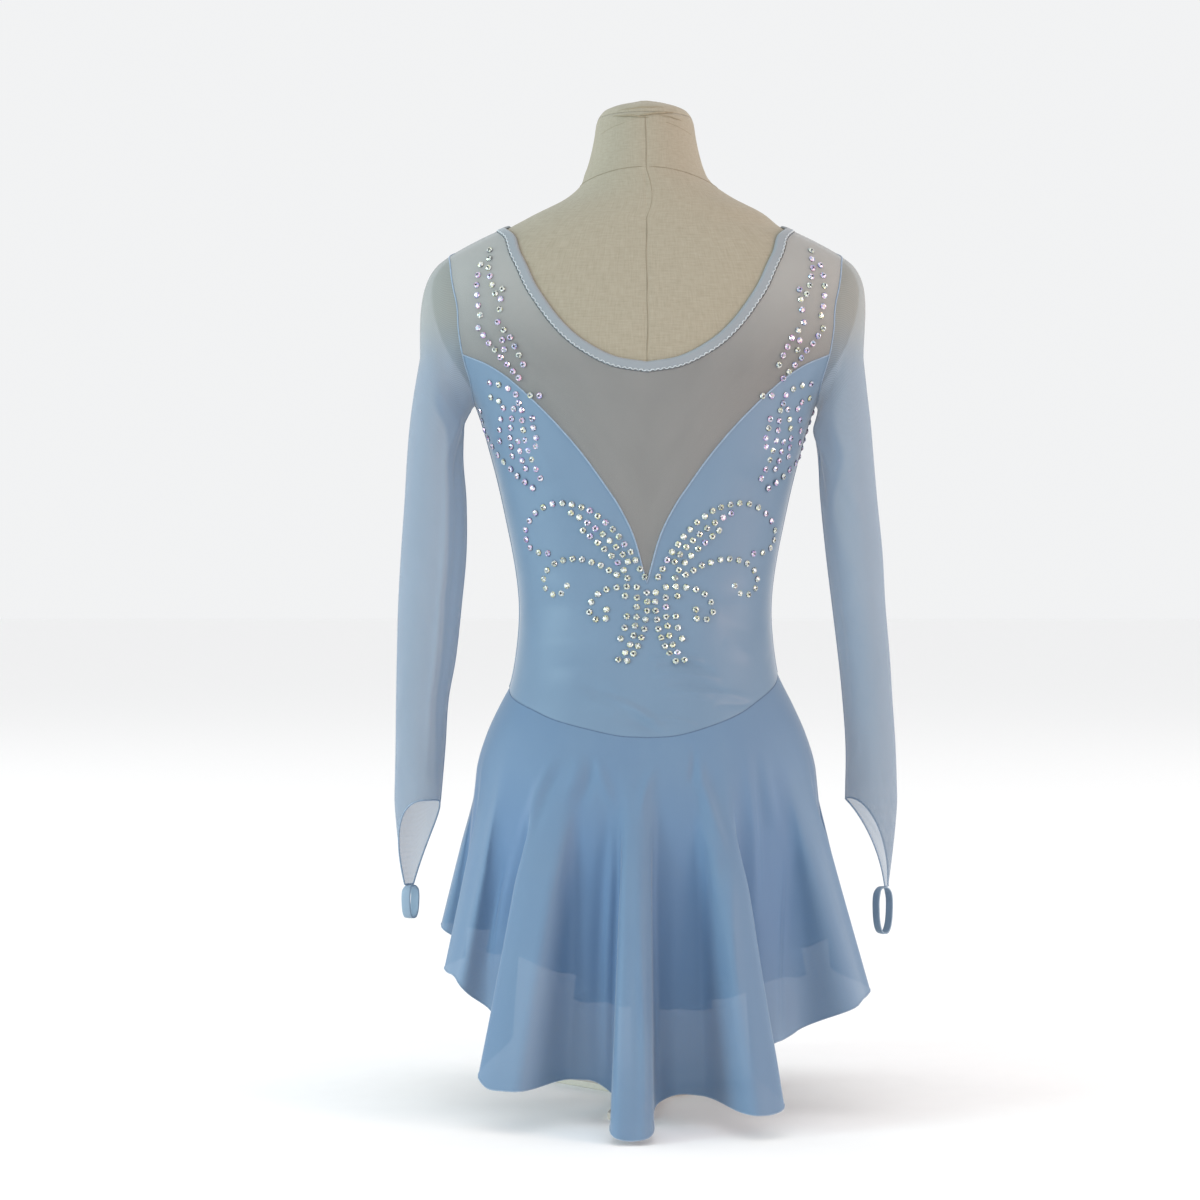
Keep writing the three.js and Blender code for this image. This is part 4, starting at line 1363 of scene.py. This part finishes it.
def build_sleeve(sleeve):
    name, side = sleeve["name"], sleeve["side"]
    points = sleeve_grid(sleeve)
    piece = grid_object(name + "_net", points, SLEEVE_MESH, closed=True, flip=side < 0)
    toned(piece, HEAD_TONE * smoothstep(*HEAD_LEVELS, points[..., 2]))
    # Painted shade on the sleeve's inner side, darker and bluer.
    toned(piece, inner_side_shade(name, points[..., 2]), "third_tone")
    dressed(piece, name)
    cuff_edge, underarm = points[-1], points[8:-1, 60]
    seams = [tube(cuff_edge, CUFF_CORD, closed=True), tube(underarm, UNDERARM_CORD, sides=6)]
    added(name + "_seams", seams, THREAD)


# ---- finger loops

LOOPS = [
    {"name": "left_finger_loop", "sleeve": LEFT_SLEEVE, "height": 32, "width": 19, "turn": 65, "inward": 2},
    {"name": "right_finger_loop", "sleeve": RIGHT_SLEEVE, "height": 45, "width": 18, "turn": 35, "inward": 5},
]
LOOP_BAND = 9.0
SQUARENESS = 2.6


def squared(wave):
    """Fills a circle's sine or cosine out towards a rounded square."""
    return np.sign(wave) * np.abs(wave) ** (2 / SQUARENESS)


def build_loop(loop):
    """A band of doubled mesh sewn into a long loop, a little wider at its top."""
    sleeve = loop["sleeve"]
    turn = np.array(math.radians(sleeve["open_turn"] + 180))
    end = cuff_point(sleeve, turn, np.array(1.0))
    low = end[2] - 2 * SEAM
    centre = [sleeve["side"] * (end[0] - loop["inward"]), end[1], low - loop["height"] / 2]
    spin = math.radians(loop["turn"])
    around = full_turn(72)
    half_width, half_height = loop["width"] / 2 - 0.8, loop["height"] / 2 - 0.8
    across = half_width * squared(np.sin(around))
    up = half_height * squared(np.cos(around))
    across = across * (1 + 0.12 * up / half_height)
    rings = []
    for share in np.linspace(-1, 1, 9):
        deep = share * LOOP_BAND / 2 * (1 - 0.25 * smoothstep(0.7, 1, up / half_height))
        swell = 0.35 * (1 - share**2)
        wide = across + swell * np.sin(around)
        x = wide * math.cos(spin) - deep * math.sin(spin)
        y = wide * math.sin(spin) + deep * math.cos(spin)
        rings.append(np.stack([x, y, up + swell * np.cos(around)], -1) + centre)
    band = grid_object(loop["name"] + "_band", np.array(rings), LOOP_CLOTH, closed=True)
    thicken(band, LOOP_THICK, 0.0)
    dressed(band, loop["name"])


# ---- skirt


def across_fold(place, width, upright):
    def held(s):
        through = np.clip((s - width + FLANK) / (2 * FLANK), 0, 1)
        return s - upright * FLANK * (through - np.sin(2 * math.pi * through) / (2 * math.pi))

    return 0.5 * held(place) / held(0.5)


def skirt_middle(turn, share):
    count = len(FOLDS["angle"])
    nearest = np.round(turn).astype(int)
    fold, before, after = nearest % count, (nearest - 1) % count, (nearest + 1) % count
    place = turn - nearest
    sign, s = np.sign(place), np.abs(place)
    angles = FOLDS["angle"]
    gap_before = (angles[fold] - angles[before]) % 360
    gap_after = (angles[after] - angles[fold]) % 360
    gap = np.radians(np.where(place < 0, gap_before, gap_after))
    valley_hem = np.where(place < 0, FOLDS["valley"][before], FOLDS["valley"][fold])
    fold_angle, width = np.radians(angles[fold]), FOLDS["width"][fold]

    seam_angle = fold_angle + sign * gap * s
    hem = FOLDS["hem"][fold] + (valley_hem - FOLDS["hem"][fold]) * smoothstep(0, 0.5, s)
    drop = (waist_at(seam_angle) - hem) * share
    grown = smoothstep(FOLD_START, FOLD_FULL, drop)
    angle = fold_angle + sign * gap * across_fold(s, width, grown)

    z = waist_at(angle) + (hem - waist_at(angle)) * share
    hip = wall_radius(angle, np.maximum(z, HIP_Z))
    spring = 1 - np.exp(-drop / SPRING_DROP)
    valley = hip + VALLEY_SPRING * spring + VALLEY_SLOPE * drop
    seam = wall_radius(angle, waist_at(angle))
    ridge = seam + SKIRT_SPRING * spring + FOLDS["slope"][fold] * drop
    rounded = 1 - smoothstep(width - FLANK, width + FLANK, s)
    radius = valley + (soft_max(ridge, valley, 2) - valley) * rounded * grown
    ripple = 1.1 * np.sin(turn * 2 * math.pi * 2.3 + 1.3) + 0.7 * np.sin(turn * 2 * math.pi * 4.1)
    radius = radius + ripple * smoothstep(0.1, 0.8, share)
    depth = (1 - rounded) * grown
    return np.stack([radius * np.sin(angle), radius * np.cos(angle), z + 0 * radius], -1), depth


def build_skirt():
    count = len(FOLDS["angle"])
    turn = np.linspace(0, count, FOLD_STATIONS * count, endpoint=False)[None, :]
    share = (np.linspace(0, 1, 100) ** 1.15)[:, None]
    turn, share = np.broadcast_arrays(turn, share)
    points, depth = skirt_middle(turn, share)
    x, y, z = points[..., 0], points[..., 1], points[..., 2]
    lift = np.where(y > 0, crease(x, z, SKIRT_BACK_CREASES), crease(x, z, SKIRT_FRONT_CREASES))
    lift = lift * smoothstep(0, 60, np.abs(y)) * smoothstep(0.02, 0.12, share)
    outward = unit(np.stack([x, y, 0 * x], -1))
    points = points + outward * lift[..., None]
    angle = np.arctan2(x, y)
    top = off_form(angle[0], waist_at(angle[0]) - SEAM, SKIN)
    ease = (1 - smoothstep(0, 0.05, share[:, :1]))[..., None]
    points = points + (top - points[0])[None] * ease
    piece = grid_object("skirt_cloth_sheet", points, SKIRT_CLOTH, closed=True)
    # Painted shade: darker and bluer in the fold valleys, fading out towards the hem.
    toned(piece, DEEPEST_SHADE * depth * (1 - 0.9 * smoothstep(0.6, 1.0, share)))
    dressed(piece, "skirt")
    hem = tube(points[-1], HEM_CORD, closed=True, sides=6)
    added("skirt_hem", [hem], THREAD)


# ---- rhinestones


def frond_line(row):
    """The places of a frond's stones, as (across, z)."""
    x, z, heading, length, turn, curl, _ = (column[row] for column in FRONDS.values())
    count = max(2, int(round(length / STONE_PITCH)) + 1)
    share = np.linspace(0, 1, PATH_STEPS * (count - 1) + 1)
    turned = np.radians(heading + turn * share + curl * share**CURL_LATE)[:-1]
    step = length / (len(share) - 1)
    x = x + np.concatenate([[0], np.cumsum(np.cos(turned))]) * step
    z = z + np.concatenate([[0], np.cumsum(np.sin(turned))]) * step
    return np.stack([x, z], -1)[::PATH_STEPS]


def stone_shape():
    """A faceted dome: girdle, two rows of crown facets and a small table."""
    rings = ((1.0, 0.0, 0.0), (1.0, 0.2, 0.0), (0.74, 0.5, 0.5), (0.36, 0.64, 0.0))
    points = [
        (radius * math.cos((k + turn) * math.pi / 4), radius * math.sin((k + turn) * math.pi / 4), height)
        for radius, height, turn in rings
        for k in range(8)
    ]
    faces = []
    for k in range(8):
        after = (k + 1) % 8
        faces += [(k, after, after + 8, k + 8), (k + 8, after + 8, k + 16)]
        faces += [(after + 8, after + 16, k + 16), (k + 16, after + 16, after + 24)]
        faces.append((k + 16, after + 24, k + 24))
    faces.append(tuple(range(24, 32)))
    return np.array(points), faces


# Painted reflections: the tints a coated stone throws back, from its brightest facets to its darkest.
GOLD_TINTS = (
    (240, 242, 240), (214, 220, 206), (204, 206, 158), (176, 194, 190), (150, 156, 176), (104, 112, 110)
)
PINK_TINTS = (
    (244, 238, 246), (220, 172, 204), (164, 156, 214), (150, 176, 204), (196, 200, 206), (108, 100, 130)
)
# The girdle's dark tint is partly its foil backing and partly painted shade at the stone's edge; the table
# takes a painted dark reflection or a bright glint.
GIRDLE_TINT = (72, 78, 94)
TABLE_TINTS = ((34, 42, 48), (44, 50, 58), (62, 70, 74), (128, 136, 130), (236, 240, 238))


def facet_colours(stones, tints, sides):
    """Facets take painted reflections from their stone's palette. Each fifth is the girdle, and the last is
    the table.
    """
    values = np.ones((len(stones.data.loops), 4), np.float32)
    for k, polygon in enumerate(stones.data.polygons):
        palette = PINK_TINTS if tints[k // sides] else GOLD_TINTS
        colour = palette[rng.integers(len(palette))]
        if k % sides == sides - 1:
            colour = TABLE_TINTS[rng.integers(len(TABLE_TINTS))]
        elif k % sides % 5 == 0:
            colour = GIRDLE_TINT
        values[list(polygon.loop_indices), :3] = srgb(colour)
    layer = stones.data.attributes.new("facet_tint", "FLOAT_COLOR", "CORNER")
    layer.data.foreach_set("color", values.ravel())


def build_rhinestones():
    places, tints = [], []
    for row, tint in enumerate(FRONDS["pink"]):
        for across, z in frond_line(row):
            if all(math.hypot(p[0] - across, p[1] - z) > 2 * STONE + STONE_GAP for p in places):
                places.append((across, z))
                tints.append(tint)
    half, shares = np.array(places), np.array(tints)
    half = half + rng.uniform(-STONE_STRAY, STONE_STRAY, half.shape)
    left = half + [PATTERN_MIDDLE, 0]
    right = half * [-1, 1] + [PATTERN_MIDDLE, 0]
    places, shares = np.concatenate([left, right]), np.concatenate([shares, shares])
    angle = angle_at(np.abs(places[:, 0]), places[:, 1], False) * np.sign(places[:, 0])
    centres = off_form(angle, places[:, 1], SKIN + 0.1)
    outward = form_normal(angle, places[:, 1])
    spins = rng.uniform(0, 2 * math.pi, len(places))
    forward = np.stack([np.cos(spins), 0.2 * np.sin(spins), np.sin(spins)], -1)
    shape, shape_faces = stone_shape()
    points, faces = copies(shape, shape_faces, centres, outward, forward, (STONE, STONE, STONE))
    stones = make_object("rhinestones", points, faces, STONES, smooth=False)
    facet_colours(stones, rng.random(len(places)) < shares, len(shape_faces))
    dressed(stones, None)


# ---- stage, light and camera

CAMERA_X, CAMERA_Y, CAMERA_Z = 43.0, 2400.0, 485.0
IMAGE = 1200.0
FOCAL_PIXELS = 2526.0
SENSOR = 36.0


LIGHT_TARGET = (0, 0, 0.5)


def area_light(name, place, size, power, colour):
    light = bpy.data.lights.new(name, "AREA")
    light.shape = "RECTANGLE"
    light.size, light.size_y = size
    light.energy = power
    light.color = colour
    obj = placed(name, light)
    obj.location = place
    obj.rotation_euler = (Vector(LIGHT_TARGET) - Vector(place)).to_track_quat("-Z", "Y").to_euler()


LIGHTS = [
    # name, place, size, power, colour
    ("key", (4.6, 2.2, 1.5), (1.8, 1.8), 118, (0.74, 0.97, 1.0)),
    ("warm_fill", (-4.4, 2.6, 1.2), (1.6, 1.6), 108, (1.0, 0.68, 0.53)),
    ("front_left", (6.0, -2.5, 1.8), (2.0, 1.6), 66, (1.0, 1.0, 1.0)),
    ("front_right", (-6.0, -2.5, 1.8), (2.0, 1.6), 56, (1.0, 1.0, 1.0)),
    ("above", (0.2, 0.5, 4.0), (2.0, 2.0), 8, (1.0, 1.0, 1.0)),
]
FLOOR_HALF = 60.0


def build_stage():
    paper = plain_material("floor_paper", (0.985, 0.982, 0.98), 0.9, grain=0.005, scale=40.0)
    mesh = bpy.data.meshes.new("floor")
    corners = [(-1, -1, 0), (1, -1, 0), (1, 1, 0), (-1, 1, 0)]
    mesh.from_pydata([tuple(FLOOR_HALF * c for c in corner) for corner in corners], [], [(0, 1, 2, 3)])
    mesh.materials.append(paper)
    floor = placed("floor", mesh)

    world = bpy.data.worlds.new("studio")
    world.use_nodes = True
    background = world.node_tree.nodes["Background"]
    background.inputs["Color"].default_value = (0.985, 0.992, 1.0, 1)
    background.inputs["Strength"].default_value = 0.9
    bpy.context.scene.world = world
    bpy.context.scene.view_settings.view_transform = "Standard"
    for name, place, size, power, colour in LIGHTS:
        area_light(name, place, size, power, colour)


def build_camera():
    camera = bpy.data.cameras.new("photo_camera")
    camera.sensor_width = SENSOR
    camera.sensor_fit = "HORIZONTAL"
    camera.lens = SENSOR * FOCAL_PIXELS / IMAGE
    obj = placed("photo_camera", camera)
    obj.location = (CAMERA_X * MM, CAMERA_Y * MM, (CAMERA_Z - FLOOR) * MM)
    obj.rotation_euler = (math.pi / 2, 0, math.pi)
    bpy.context.scene.camera = obj


build_form()
build_form_seams()
build_neck_cap()
build_cap_folds()
build_stand()
build_body("back_body", back_body_edge, front=False, rows=220, marks=BACK_CREASES)
build_body("front_body", front_body_edge, front=True, rows=160, marks=FRONT_CREASES)
build_mesh("back_mesh", back_mesh_edge, BACK_NECK, front=False, rows=70)
build_mesh("front_mesh", front_mesh_edge, FRONT_NECK, front=True, rows=50)
build_seams()
build_binding()
build_sleeve(LEFT_SLEEVE)
build_sleeve(RIGHT_SLEEVE)
for loop in LOOPS:
    build_loop(loop)
build_skirt()
build_rhinestones()
build_stage()
build_camera()
